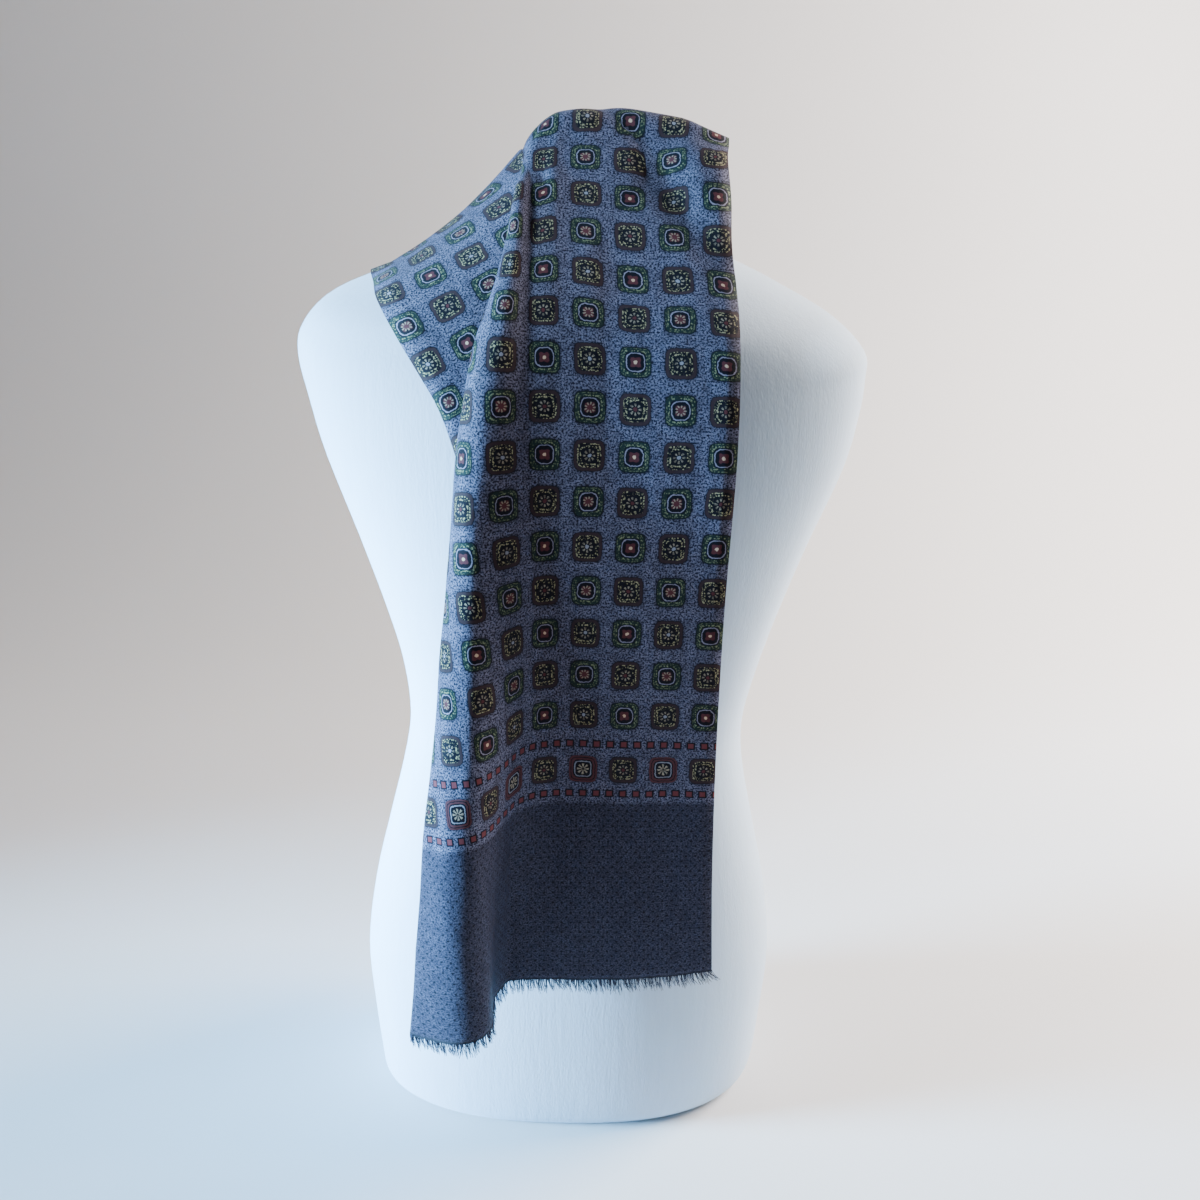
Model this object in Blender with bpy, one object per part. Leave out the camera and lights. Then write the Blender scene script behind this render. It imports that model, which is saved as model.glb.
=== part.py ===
"""Fringed scarf draped over a limbless dress form.

Axes: +Z up, the front of the form faces -Y, +X is the side that hangs flat.
The origin is the middle of the form's flat base.  Sizes are in metres.
"""

import math

import bpy
import numpy as np
from mathutils import Vector
from mathutils.bvhtree import BVHTree

CM = 0.01

# cloth sizes
SCARF_WIDTH = 0.298
SCARF_LENGTH = 1.42
RIDGE_SEAM = 0.735          # cloth length from the front hem to the seam behind the neck
SEAM_GAP = 0.0007
FRINGE_GAP = 0.0005
CLOTH_THICKNESS = 0.0012
FORM_CLEARANCE = 0.0048     # from the form to the middle of the cloth

# fringe sizes
BACKING_HEIGHT = 0.002
BACKING_THICKNESS = 0.0012
FRINGE_LENGTH = 0.011
FRINGE_FLARE = 0.005
FRINGE_LEAN = 0.0012
FRONT_LOCKS = 84
BACK_LOCKS = 60
LOCK_SHARE = 0.56           # part of the pitch that a lock fills
LOCK_TAPER = 0.55

# meshing
FORM_SEGMENTS = 44
SPAN_STEPS = (1, 1, 1, 2, 2, 2, 3, 3, 3, 3, 3, 5)

# Dress form.  Centimetres and degrees; one ring a row.
# height, centre_x, centre_y, half_width, front_depth, back_depth, tilt, roll
FORM_TABLE = (
    (0.0, -0.8, 0.0, 16.7, 9.2, 9.2, 0.0, 0.0),
    (0.5, -0.6, 0.0, 17.6, 9.9, 10.0, 0.0, 0.0),
    (2.2, -0.3, 0.0, 18.1, 10.3, 10.5, 0.0, 0.0),
    (7.3, -0.3, 0.0, 18.5, 10.6, 10.9, 0.0, 0.0),
    (14.2, -0.3, 0.0, 18.8, 10.6, 11.2, 0.0, 0.0),
    (21.0, -0.25, 0.0, 17.9, 10.0, 10.8, 0.0, 0.0),
    (27.4, -0.2, 0.0, 16.4, 9.2, 9.8, 0.0, 0.0),
    (33.6, -0.1, 0.0, 14.95, 8.7, 8.8, 0.0, 0.0),
    (38.0, 0.1, 0.0, 14.5, 8.7, 8.5, 0.0, 0.0),
    (43.0, 0.35, 0.0, 15.2, 9.2, 8.8, 0.0, 0.0),
    (48.0, 0.4, 0.0, 16.5, 9.9, 9.5, 0.0, 0.0),
    (54.0, 0.42, 0.0, 18.4, 10.6, 10.3, 0.0, 0.0),
    (60.5, 0.45, 0.0, 20.7, 10.8, 10.8, 0.0, 0.3),
    (65.0, 0.3, 0.0, 21.7, 10.5, 10.8, 2.0, 0.8),
    (68.0, 0.1, 0.0, 22.1, 10.0, 10.6, 5.0, 1.2),
    (70.0, 0.2, 0.0, 21.8, 9.4, 10.0, 8.0, 1.5),
    (72.0, 0.0, 0.0, 19.6, 8.8, 9.2, 12.0, 1.5),
    (73.8, 0.4, 0.0, 15.0, 8.1, 8.4, 17.0, 1.5),
    (75.6, 0.3, 0.0, 10.5, 7.3, 7.6, 22.0, 1.2),
    (77.6, 0.0, -0.1, 7.9, 6.3, 6.7, 28.0, 0.8),
    (79.2, 0.0, -0.4, 5.8, 5.6, 6.1, 34.0, 0.4),
    (80.7, 0.0, -1.2, 4.7, 5.0, 5.4, 43.0, 0.0),
    (81.9, 0.0, -2.2, 4.2, 4.7, 4.9, 51.0, 0.0),
)
FORM_SQUARENESS = 2.4
NECK_SQUARENESS = 2.0
NECK_FROM_RING = 18
CAP_SHARE = 0.9
CAP_RISE = 0.0015
CAP_DOME = 0.003

# Path of the flat part of the cloth, centimetres: length from the front hem, y, z.
PATH_TABLE = (
    (0.0, -12.0, 18.2),
    (24.6, -12.0, 42.9),
    (41.4, -12.0, 59.7),
    (44.7, -11.98, 63.0),
    (48.0, -11.8, 66.3),
    (51.4, -11.2, 69.6),
    (54.7, -10.0, 72.6),
    (58.1, -8.3, 75.3),
    (61.4, -6.3, 77.85),
    (64.8, -4.2, 80.4),
    (68.1, -2.1, 82.8),
    (70.4, -0.7, 84.8),
    (71.8, 0.4, 86.25),
    (73.2, 1.8, 86.75),
    (75.0, 3.3, 85.8),
    (77.5, 5.0, 83.6),
    (82.0, 7.2, 79.7),
    (88.0, 9.6, 74.2),
    (94.0, 11.2, 68.4),
    (100.0, 12.0, 62.5),
    (120.0, 12.3, 42.5),
    (142.0, 12.4, 20.5),
)

# Side that hangs flat, centimetres: length, x of the middle column, x of the selvage, how far
# the selvage sinks, how far the middle column sinks, depth of the trough between the two.
SELVAGE_TABLE = (
    (0.0, -2.2, 12.0, -1.2, 0.0, 0.0),
    (10.0, -2.2, 11.5, -0.5, 0.0, 0.0),
    (20.0, -2.2, 11.2, 0.0, 0.0, 0.0),
    (34.0, -2.2, 11.1, 0.0, 0.0, 0.0),
    (44.7, -2.2, 11.3, 0.0, 0.0, 0.1),
    (51.4, -2.3, 11.2, 0.4, 0.0, 0.3),
    (54.7, -2.5, 11.1, 0.7, 0.0, 0.6),
    (58.1, -2.6, 10.9, 1.0, 0.1, 1.0),
    (61.4, -2.8, 10.6, 0.6, 0.2, 0.6),
    (64.8, -2.9, 10.6, 0.3, 0.2, 0.7),
    (68.1, -3.0, 10.4, -0.1, 0.4, 0.6),
    (71.0, -3.0, 10.6, 1.5, 0.9, 0.6),
    (73.2, -3.0, 10.7, 2.5, 1.3, 0.3),
    (77.5, -2.8, 10.9, 2.0, 0.8, 0.3),
    (82.0, -2.6, 11.2, 1.4, 0.6, 0.3),
    (100.0, -2.2, 11.0, 0.4, 0.3, 0.0),
    (142.0, -2.2, 9.6, 0.6, 0.0, 0.0),
)

# Rolled side of the front, centimetres.  From the middle column to the turned edge the
# cloth passes five evenly spaced points: x and how far forward of the flat part each is.
# length, cloth position of the edge, x1, f1, x2, f2, x3, f3, x4, f4, x5, f5, sag of the edge
ROLL_TABLE = (
    (0.0, 1.5, -5.0, -0.2, -6.5, 1.7, -5.6, 5.4, -8.5, 6.0, -13.0, 3.7, 2.9),
    (6.0, 2.0, -4.9, 0.2, -6.1, 2.6, -5.9, 5.6, -8.8, 6.3, -12.3, 4.2, 2.4),
    (12.0, 2.6, -4.7, 0.9, -5.7, 3.4, -6.3, 5.8, -8.9, 6.4, -11.7, 4.7, 1.8),
    (19.8, 3.6, -4.3, 1.5, -5.2, 4.2, -6.7, 5.8, -8.9, 6.2, -10.9, 5.1, 1.2),
    (24.6, 4.9, -4.0, 1.3, -4.9, 3.7, -6.6, 5.1, -8.7, 5.4, -10.3, 4.6, 0.9),
    (31.3, 6.2, -3.8, 1.0, -4.9, 2.8, -6.8, 3.9, -8.6, 4.1, -9.8, 3.5, 0.7),
    (38.0, 7.8, -3.7, 0.6, -5.0, 1.9, -6.8, 2.6, -8.4, 2.6, -9.3, 2.0, 0.5),
    (44.7, 8.8, -3.7, 0.4, -5.0, 1.1, -6.7, 1.4, -8.0, 1.2, -8.8, 0.7, 0.3),
    (51.4, 10.1, -3.5, 0.3, -4.7, 0.6, -5.9, 0.9, -7.0, 0.8, -7.7, 0.1, 0.1),
    (58.1, 11.5, -3.4, 0.2, -4.1, 0.4, -4.8, 0.6, -5.4, 0.5, -5.8, 0.0, 0.1),
    (64.8, 12.9, -3.4, 0.1, -3.9, 0.3, -4.3, 0.5, -4.7, 0.5, -5.0, 0.1, 0.3),
    (70.4, 14.1, -3.3, 0.0, -3.7, 0.1, -4.0, 0.2, -4.3, 0.2, -4.6, 0.0, 1.8),
    (73.2, 14.6, -3.3, 0.0, -3.7, 0.0, -4.1, 0.0, -4.5, 0.0, -4.8, -0.1, 2.3),
    (77.5, 14.4, -3.2, 0.0, -3.7, 0.0, -4.2, 0.0, -4.7, 0.0, -5.1, -0.1, 1.9),
    (82.0, 13.6, -2.9, 0.0, -3.6, 0.0, -4.2, 0.0, -4.9, 0.0, -5.4, -0.1, 2.1),
    (88.0, 12.0, -2.8, 0.0, -3.8, 0.0, -4.9, 0.0, -5.9, 0.0, -6.8, 0.0, 2.7),
    (100.0, 10.0, -2.5, 0.2, -3.6, 0.6, -4.8, 0.7, -6.0, 0.3, -7.2, 0.0, 3.6),
    (120.0, 10.0, -2.2, 0.7, -3.0, 1.5, -4.2, 1.5, -5.2, 0.8, -6.3, 0.1, 4.6),
    (142.0, 10.0, -1.9, 1.1, -2.6, 2.4, -3.7, 2.4, -4.6, 1.2, -5.6, 0.1, 5.6),
)

# Turned-under layers and the stretch over the shoulder, centimetres.
# length, inner fold cloth position, inner fold x, y, z, middle x, y, z, selvage x, y, z
SHOULDER_TABLE = (
    (0.0, 0.8, -11.9, -14.9, 15.4, -12.1, -14.5, 15.3, -12.4, -14.3, 15.2),
    (12.0, 1.4, -10.6, -15.9, 28.3, -10.9, -15.6, 28.1, -11.2, -15.5, 27.9),
    (19.8, 1.9, -9.5, -16.5, 36.7, -9.9, -16.1, 36.4, -10.4, -15.9, 36.1),
    (31.3, 3.2, -8.0, -14.8, 48.0, -8.6, -14.4, 47.4, -9.3, -14.1, 46.8),
    (38.0, 3.9, -6.4, -13.4, 54.1, -7.4, -13.0, 52.9, -8.6, -12.7, 51.9),
    (44.7, 4.2, -4.9, -12.0, 60.2, -6.4, -11.8, 58.8, -7.9, -11.6, 57.7),
    (51.4, 6.0, -4.3, -10.7, 66.2, -6.4, -10.9, 64.2, -8.7, -10.8, 62.6),
    (54.7, 7.3, -4.1, -9.8, 69.3, -6.8, -10.2, 67.3, -9.9, -10.2, 65.7),
    (58.1, 8.6, -4.1, -8.2, 72.6, -7.6, -9.4, 70.2, -11.5, -9.3, 68.2),
    (61.4, 9.9, -4.1, -6.2, 75.6, -8.5, -7.8, 72.8, -13.2, -8.0, 70.6),
    (64.8, 11.2, -4.3, -4.3, 77.8, -9.4, -5.4, 75.0, -14.9, -5.3, 72.7),
    (68.1, 12.5, -4.1, -2.4, 80.6, -10.0, -2.2, 76.6, -15.8, -1.8, 73.6),
    (71.0, 13.6, -4.0, -0.5, 82.7, -10.7, 0.6, 77.1, -16.5, 1.2, 73.9),
    (73.2, 13.9, -4.8, 1.7, 83.4, -11.2, 3.0, 76.9, -16.9, 3.3, 74.0),
    (77.5, 13.6, -5.4, 4.8, 80.9, -11.6, 6.5, 75.1, -17.2, 6.7, 71.8),
    (82.0, 12.8, -6.5, 7.1, 76.3, -11.8, 9.0, 72.4, -17.1, 9.0, 67.7),
    (88.0, 11.0, -8.2, 9.6, 70.3, -11.9, 11.0, 66.8, -16.6, 11.0, 62.2),
    (100.0, 9.0, -8.8, 12.0, 57.6, -11.4, 13.1, 55.1, -15.6, 12.6, 50.6),
    (120.0, 9.0, -7.6, 12.4, 36.9, -10.0, 14.6, 34.6, -14.2, 13.2, 31.0),
    (142.0, 9.0, -6.9, 12.9, 14.1, -8.8, 16.0, 12.2, -12.8, 14.0, 9.2),
)

FLAT_POSITIONS = (SCARF_WIDTH / CM, 26.6, 23.2, 19.8, 16.5)     # cloth positions of the flat part, cm
TROUGH_POSITION = 23.2                              # cloth position of the trough, cm
SINK_FROM = 20.5                                    # the sides sink to either hand of this, cm
TURN_WIDTH = 0.9                                    # cloth taken up by the outer turn, cm
TURN_DEPTH = (0.9, 0.35)                            # depth of the outer and the inner turn, cm
PLEAT_OPENS = (69.0, 76.0)                          # lengths over which the pleat opens out, cm

# node name: colour, roughness, metallic
LOOKS = {
    "dress_form": ((0.80, 0.83, 0.86, 1.0), 0.82, 0.0),
    "scarf_front_fall": ((0.11, 0.16, 0.26, 1.0), 0.62, 0.0),
    "scarf_back_fall": ((0.11, 0.16, 0.26, 1.0), 0.62, 0.0),
    "fringe_front": ((0.10, 0.14, 0.23, 1.0), 0.70, 0.0),
    "fringe_back": ((0.10, 0.14, 0.23, 1.0), 0.70, 0.0),
}


def smooth_rows(table, at):
    """Read a table whose first column rises at one value, with a smooth curve."""
    keys = np.array([row[0] for row in table])
    values = np.array([row[1:] for row in table])
    steps = np.diff(keys)[:, None]
    slopes = np.diff(values, axis=0) / steps
    tangent = np.zeros_like(values)
    tangent[0] = slopes[0]
    tangent[-1] = slopes[-1]
    weight = steps[:-1] / (steps[:-1] + steps[1:])
    tangent[1:-1] = slopes[:-1] * (1.0 - weight) + slopes[1:] * weight
    index = int(np.clip(np.searchsorted(keys, at) - 1, 0, len(keys) - 2))
    step = keys[index + 1] - keys[index]
    x = (at - keys[index]) / step
    return (
        values[index] * (2 * x**3 - 3 * x**2 + 1)
        + tangent[index] * step * (x**3 - 2 * x**2 + x)
        + values[index + 1] * (3 * x**2 - 2 * x**3)
        + tangent[index + 1] * step * (x**3 - x**2)
    )


def outward_from_path(length):
    """Unit vector square to the path of the cloth, away from the form."""
    before = smooth_rows(PATH_TABLE, length - 0.5)
    after = smooth_rows(PATH_TABLE, length + 0.5)
    along_y, along_z = after - before
    size = math.hypot(along_y, along_z)
    return np.array((0.0, -along_z / size, along_y / size))


def control_row(length):
    """Control points (x, y, z, cloth position) of one cross row of the cloth, in cm."""
    path_y, path_z = smooth_rows(PATH_TABLE, length)
    middle_x, selvage_x, sink, crown, trough = smooth_rows(SELVAGE_TABLE, length)
    roll = smooth_rows(ROLL_TABLE, length)
    shoulder = smooth_rows(SHOULDER_TABLE, length)
    edge, points, sag = roll[0], roll[1:11].reshape(5, 2), roll[11]
    outward = outward_from_path(length)
    rows = []
    for place in FLAT_POSITIONS:
        share = (place - FLAT_POSITIONS[-1]) / (FLAT_POSITIONS[0] - FLAT_POSITIONS[-1])
        low = sink * max(0.0, (place - SINK_FROM) / (FLAT_POSITIONS[0] - SINK_FROM)) ** 2
        low += crown * max(0.0, (SINK_FROM - place) / (SINK_FROM - FLAT_POSITIONS[-1])) ** 2
        low += trough * (place == TROUGH_POSITION)
        rows.append((middle_x + share * (selvage_x - middle_x), path_y, path_z - low, place))
    for number, (x, out) in enumerate(points):
        share = (number + 1) / 5.0
        place = FLAT_POSITIONS[-1] + share * (edge - FLAT_POSITIONS[-1])
        point = np.array((x, path_y, path_z - crown - sag * share**1.5)) + out * outward
        rows.append((*point, place))
    inner, fold, mid, left = shoulder[0], shoulder[1:4], shoulder[4:7], shoulder[7:10]
    rim = np.array(rows[-1][:3])
    share = min(max((length - PLEAT_OPENS[0]) / (PLEAT_OPENS[1] - PLEAT_OPENS[0]), 0.0), 1.0)
    opened = share * share * (3.0 - 2.0 * share)
    depth = min(TURN_DEPTH[0], 0.45 * (edge - inner)) * (1.0 - opened)
    turn = rim - depth * outward + (0.18 + 0.32 * opened) * (fold - rim)
    rows.append((*turn, edge - min(TURN_WIDTH, 0.3 * (edge - inner))))
    half = 0.5 * TURN_DEPTH[1] * (1.0 - opened)
    rows.append((*(fold + half * outward), inner + 0.1))
    rows.append((*(fold - half * outward + 0.15 * opened * (mid - fold)), inner - 0.1 - 0.5 * opened))
    rows.append((*mid, 0.5 * inner))
    rows.append((*left, 0.0))
    return np.array(rows)


def spline_weights(count, where):
    """Weights of a clamped cubic B-spline with this many control points at one place."""
    knots = np.concatenate(([0.0] * 3, np.arange(count - 2), [float(count - 3)] * 3))
    where = min(max(where, 0.0), count - 3 - 1e-9)
    basis = np.array([1.0 if knots[i] <= where < knots[i + 1] else 0.0 for i in range(len(knots) - 1)])
    for degree in (1, 2, 3):
        raised = np.zeros(len(basis) - 1)
        for i in range(len(raised)):
            left, right = knots[i + degree] - knots[i], knots[i + degree + 1] - knots[i + 1]
            if left > 0:
                raised[i] += (where - knots[i]) / left * basis[i]
            if right > 0:
                raised[i] += (knots[i + degree + 1] - where) / right * basis[i + 1]
        basis = raised
    return basis


def across_places():
    """Places of the mesh columns along the spline, finer round the folds."""
    places = [0.0]
    for span, steps in enumerate(SPAN_STEPS):
        places.extend(span + (i + 1) / steps for i in range(steps))
    return places


def cloth_grid(lengths):
    """Middle surface of the cloth: an array rows x columns x (x, y, z) in metres."""
    weights = np.array([spline_weights(15, place) for place in across_places()])
    return np.array([weights @ control_row(length / CM)[:, :3] for length in lengths]) * CM


def lift_off(grid, tree):
    """Move the points that would touch the form out to the clearance."""
    for row in grid:
        for point in row:
            near, normal, _, gap = tree.find_nearest(Vector(point))
            inside = (Vector(point) - near).dot(normal) < 0.0
            if inside or gap < FORM_CLEARANCE:
                point[:] = near + normal * FORM_CLEARANCE
    return grid


def grid_normals(grid):
    """Unit normals of a grid of points."""
    down = np.gradient(grid, axis=0)
    across = np.gradient(grid, axis=1)
    normal = np.cross(across, down)
    return normal / np.linalg.norm(normal, axis=2, keepdims=True)


def make_object(name, points, faces):
    """Add one closed solid with its material to the scene."""
    mesh = bpy.data.meshes.new(name)
    mesh.from_pydata([tuple(p) for p in points], [], faces)
    mesh.validate()
    colour, roughness, metallic = LOOKS[name]
    material = bpy.data.materials.new(name)
    material.use_nodes = True
    shader = material.node_tree.nodes["Principled BSDF"]
    shader.inputs["Base Color"].default_value = colour
    shader.inputs["Roughness"].default_value = roughness
    shader.inputs["Metallic"].default_value = metallic
    mesh.materials.append(material)
    solid = bpy.data.objects.new(name, mesh)
    bpy.context.scene.collection.objects.link(solid)
    return solid


def shell_faces(rows, columns):
    """Faces of a closed sheet: front grid, back grid and the rim between them."""
    size = rows * columns
    faces = []
    for r in range(rows - 1):
        for c in range(columns - 1):
            a, b = r * columns + c, r * columns + c + 1
            d, e = a + columns, b + columns
            faces.append((a, b, e, d))
            faces.append((a + size, d + size, e + size, b + size))
    rim = [c for c in range(columns)]
    rim += [r * columns + columns - 1 for r in range(1, rows)]
    rim += [(rows - 1) * columns + c for c in range(columns - 2, -1, -1)]
    rim += [r * columns for r in range(rows - 2, 0, -1)]
    for i, a in enumerate(rim):
        b = rim[(i + 1) % len(rim)]
        faces.append((a, a + size, b + size, b))
    return faces


def sheet_solid(name, grid, normal):
    """Thicken a grid of points into a closed sheet."""
    rows, columns = grid.shape[:2]
    half = 0.5 * CLOTH_THICKNESS
    points = np.concatenate(((grid + half * normal).reshape(-1, 3), (grid - half * normal).reshape(-1, 3)))
    return make_object(name, points, shell_faces(rows, columns))


def form_ring(row, ring_number):
    """Points of one ring of the dress form."""
    height, middle, centre, half_width, front, back, tilt, roll = row
    power = 2.0 / (NECK_SQUARENESS if ring_number >= NECK_FROM_RING else FORM_SQUARENESS)
    lean = math.radians(tilt)
    ring = []
    for k in range(FORM_SEGMENTS):
        angle = 2.0 * math.pi * k / FORM_SEGMENTS
        side, along = math.cos(angle), math.sin(angle)
        x = half_width * math.copysign(abs(side) ** power, side)
        y = (back if along > 0 else front) * math.copysign(abs(along) ** power, along)
        rise = y * math.sin(lean) - x * math.sin(math.radians(roll))
        ring.append(((middle + x) * CM, (centre + y * math.cos(lean)) * CM, (height + rise) * CM))
    return ring


def build_form():
    """The limbless dress form: a closed body with a flat base and a slanted neck cap."""
    points = []
    for number, row in enumerate(FORM_TABLE):
        points.extend(form_ring(row, number))
    top_height, top_y, lean = FORM_TABLE[-1][0], FORM_TABLE[-1][2], math.radians(FORM_TABLE[-1][6])
    up = np.array((0.0, -math.sin(lean), math.cos(lean)))
    middle = np.array((0.0, top_y * CM, top_height * CM))
    rim = np.array(points[-FORM_SEGMENTS:])
    points.extend(middle + (rim - middle) * CAP_SHARE + up * CAP_RISE)
    rings = len(FORM_TABLE) + 1
    faces = []
    n = FORM_SEGMENTS
    for r in range(rings - 1):
        for k in range(n):
            a, b = r * n + k, r * n + (k + 1) % n
            faces.append((a, b, b + n, a + n))
    top = len(points)
    points.append(middle + up * CAP_DOME)
    for k in range(n):
        faces.append(((rings - 1) * n + k, (rings - 1) * n + (k + 1) % n, top))
    faces.append(tuple(range(n - 1, -1, -1)))
    return make_object("dress_form", points, faces)


def hem_curve(line, locks):
    """Points along a hem line and the sideways directions there, evenly spaced."""
    travelled = np.concatenate(([0.0], np.cumsum(np.linalg.norm(np.diff(line, axis=0), axis=1))))
    share = [0.0]
    for k in range(locks):
        share.append((k + LOCK_SHARE) / locks)
        share.append((k + 1.0) / locks)
    marks = np.array(share[:-1]) / share[-2]
    spots = np.stack([np.interp(marks * travelled[-1], travelled, line[:, i]) for i in range(3)], axis=1)
    run = np.gradient(spots, axis=0)
    side = np.cross(run, np.array((0.0, 0.0, 1.0)))
    return spots, side / np.linalg.norm(side, axis=1, keepdims=True)


def build_fringe(name, line, locks, lean):
    """A narrow backing strip along a hem with a row of tapered locks fused under it."""
    spots, side = hem_curve(line, locks)
    up = np.array((0.0, 0.0, 1.0))
    half = 0.5 * BACKING_THICKNESS
    top = spots - up * FRINGE_GAP
    low = top - up * BACKING_HEIGHT
    count = len(spots)
    points = list(top + side * half) + list(top - side * half)
    points += list(low + side * half) + list(low - side * half)
    faces = []
    for i in range(count - 1):
        a, b, c, d = i, i + count, i + 2 * count, i + 3 * count
        faces.append((a, a + 1, b + 1, b))
        faces.append((a, c, c + 1, a + 1))
        faces.append((b, b + 1, d + 1, d))
        if i % 2 == 1:
            faces.append((c, d, d + 1, c + 1))
            continue
        share = i / (count - 2)
        flare = FRINGE_FLARE * (abs(2.0 * share - 1.0) ** 8) * (1.0 if share < 0.5 else -1.0)
        along = spots[i + 1] - spots[i]
        along = along / np.linalg.norm(along)
        middle = 0.25 * (points[c] + points[c + 1] + points[d] + points[d + 1])
        drop = np.array((lean - along[0] * flare, -along[1] * flare, -FRINGE_LENGTH + BACKING_HEIGHT))
        start = len(points)
        for corner in (c, c + 1, d + 1, d):
            points.append(middle + (points[corner] - middle) * LOCK_TAPER + drop)
        ring = (c, c + 1, d + 1, d)
        for k in range(4):
            after = (k + 1) % 4
            faces.append((ring[k], start + k, start + after, ring[after]))
        faces.append((start, start + 3, start + 2, start + 1))
    first, last = 0, count - 1
    faces.append((first, first + count, first + 3 * count, first + 2 * count))
    faces.append((last, last + 2 * count, last + 3 * count, last + count))
    return make_object(name, points, faces)


def fix_facing(solid):
    """Turn the faces outward where the solid was built the other way round."""
    volume = 0.0
    mesh = solid.data
    mesh.calc_loop_triangles()
    for triangle in mesh.loop_triangles:
        a, b, c = (mesh.vertices[i].co for i in triangle.vertices)
        volume += a.dot(b.cross(c)) / 6.0
    if volume < 0.0:
        mesh.flip_normals()


def main():
    for old in list(bpy.data.objects):
        bpy.data.objects.remove(old, do_unlink=True)
    form = build_form()
    fix_facing(form)
    corners = [v.co.copy() for v in form.data.vertices]
    tree = BVHTree.FromPolygons(corners, [tuple(p.vertices) for p in form.data.polygons])
    seam = RIDGE_SEAM
    front_rows = np.concatenate((np.linspace(0.0, 0.42, 17), np.linspace(0.44, seam - SEAM_GAP, 21)))
    back_rows = np.concatenate((np.linspace(seam, 0.90, 13), np.linspace(0.93, SCARF_LENGTH, 14)))
    cloth = lift_off(cloth_grid(np.concatenate((front_rows, back_rows))), tree)
    normal = grid_normals(cloth)
    split = len(front_rows)
    normal[split - 1] = normal[split]
    solids = [
        sheet_solid("scarf_front_fall", cloth[:split], normal[:split]),
        sheet_solid("scarf_back_fall", cloth[split:], normal[split:]),
        build_fringe("fringe_front", cloth[0], FRONT_LOCKS, FRINGE_LEAN),
        build_fringe("fringe_back", cloth[-1], BACK_LOCKS, 0.0),
    ]
    for solid in solids:
        fix_facing(solid)


main()
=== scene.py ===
"""Looks of the fringed scarf and of the limbless dress form that it is draped over.

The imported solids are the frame.  Every piece here is built in the same axes: +Z up, the
front towards -Y, +X on the side of the neck where the scarf hangs flat.  The tables hold
centimetres, as the cut and the drape of cloth are measured, and the meshes are in metres.
"""

import logging
import math
from dataclasses import dataclass, field
from enum import Enum
from typing import Sequence, Union

import bpy
import numpy as np
from mathutils import Matrix, Vector
from mathutils.bvhtree import BVHTree


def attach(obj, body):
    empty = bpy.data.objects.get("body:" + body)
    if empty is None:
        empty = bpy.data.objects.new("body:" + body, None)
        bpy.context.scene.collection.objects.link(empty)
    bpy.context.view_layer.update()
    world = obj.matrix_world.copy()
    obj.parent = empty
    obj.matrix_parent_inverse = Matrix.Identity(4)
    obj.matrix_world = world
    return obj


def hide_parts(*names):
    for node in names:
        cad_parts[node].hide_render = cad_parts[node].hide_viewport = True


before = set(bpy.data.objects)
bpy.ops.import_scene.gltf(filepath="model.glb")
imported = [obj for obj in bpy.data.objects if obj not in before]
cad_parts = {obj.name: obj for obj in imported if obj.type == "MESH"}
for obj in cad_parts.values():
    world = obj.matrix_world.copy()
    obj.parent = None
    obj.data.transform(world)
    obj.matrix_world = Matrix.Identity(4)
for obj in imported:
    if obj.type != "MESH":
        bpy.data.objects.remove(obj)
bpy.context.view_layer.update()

LOG = logging.getLogger("scarf")
CM = 0.01
CUBIC = 3
TINY = 1e-9
ROOT = "root"

Colour = tuple[float, float, float]
Point = tuple[float, float, float]
Table = tuple[tuple[float, ...], ...]


class Side(Enum):
    """The two faces of the cloth."""

    PRINTED = 0.0
    REVERSE = 1.0


class Slot(Enum):
    """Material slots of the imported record."""

    FORM = "form_cover"
    CLOTH = "scarf_cloth"
    FRINGE = "scarf_fringe"


class Hold(Enum):
    """How a sheet of cloth is held."""

    DRAPED = "draped"


# Sizes of the drape.

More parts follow.
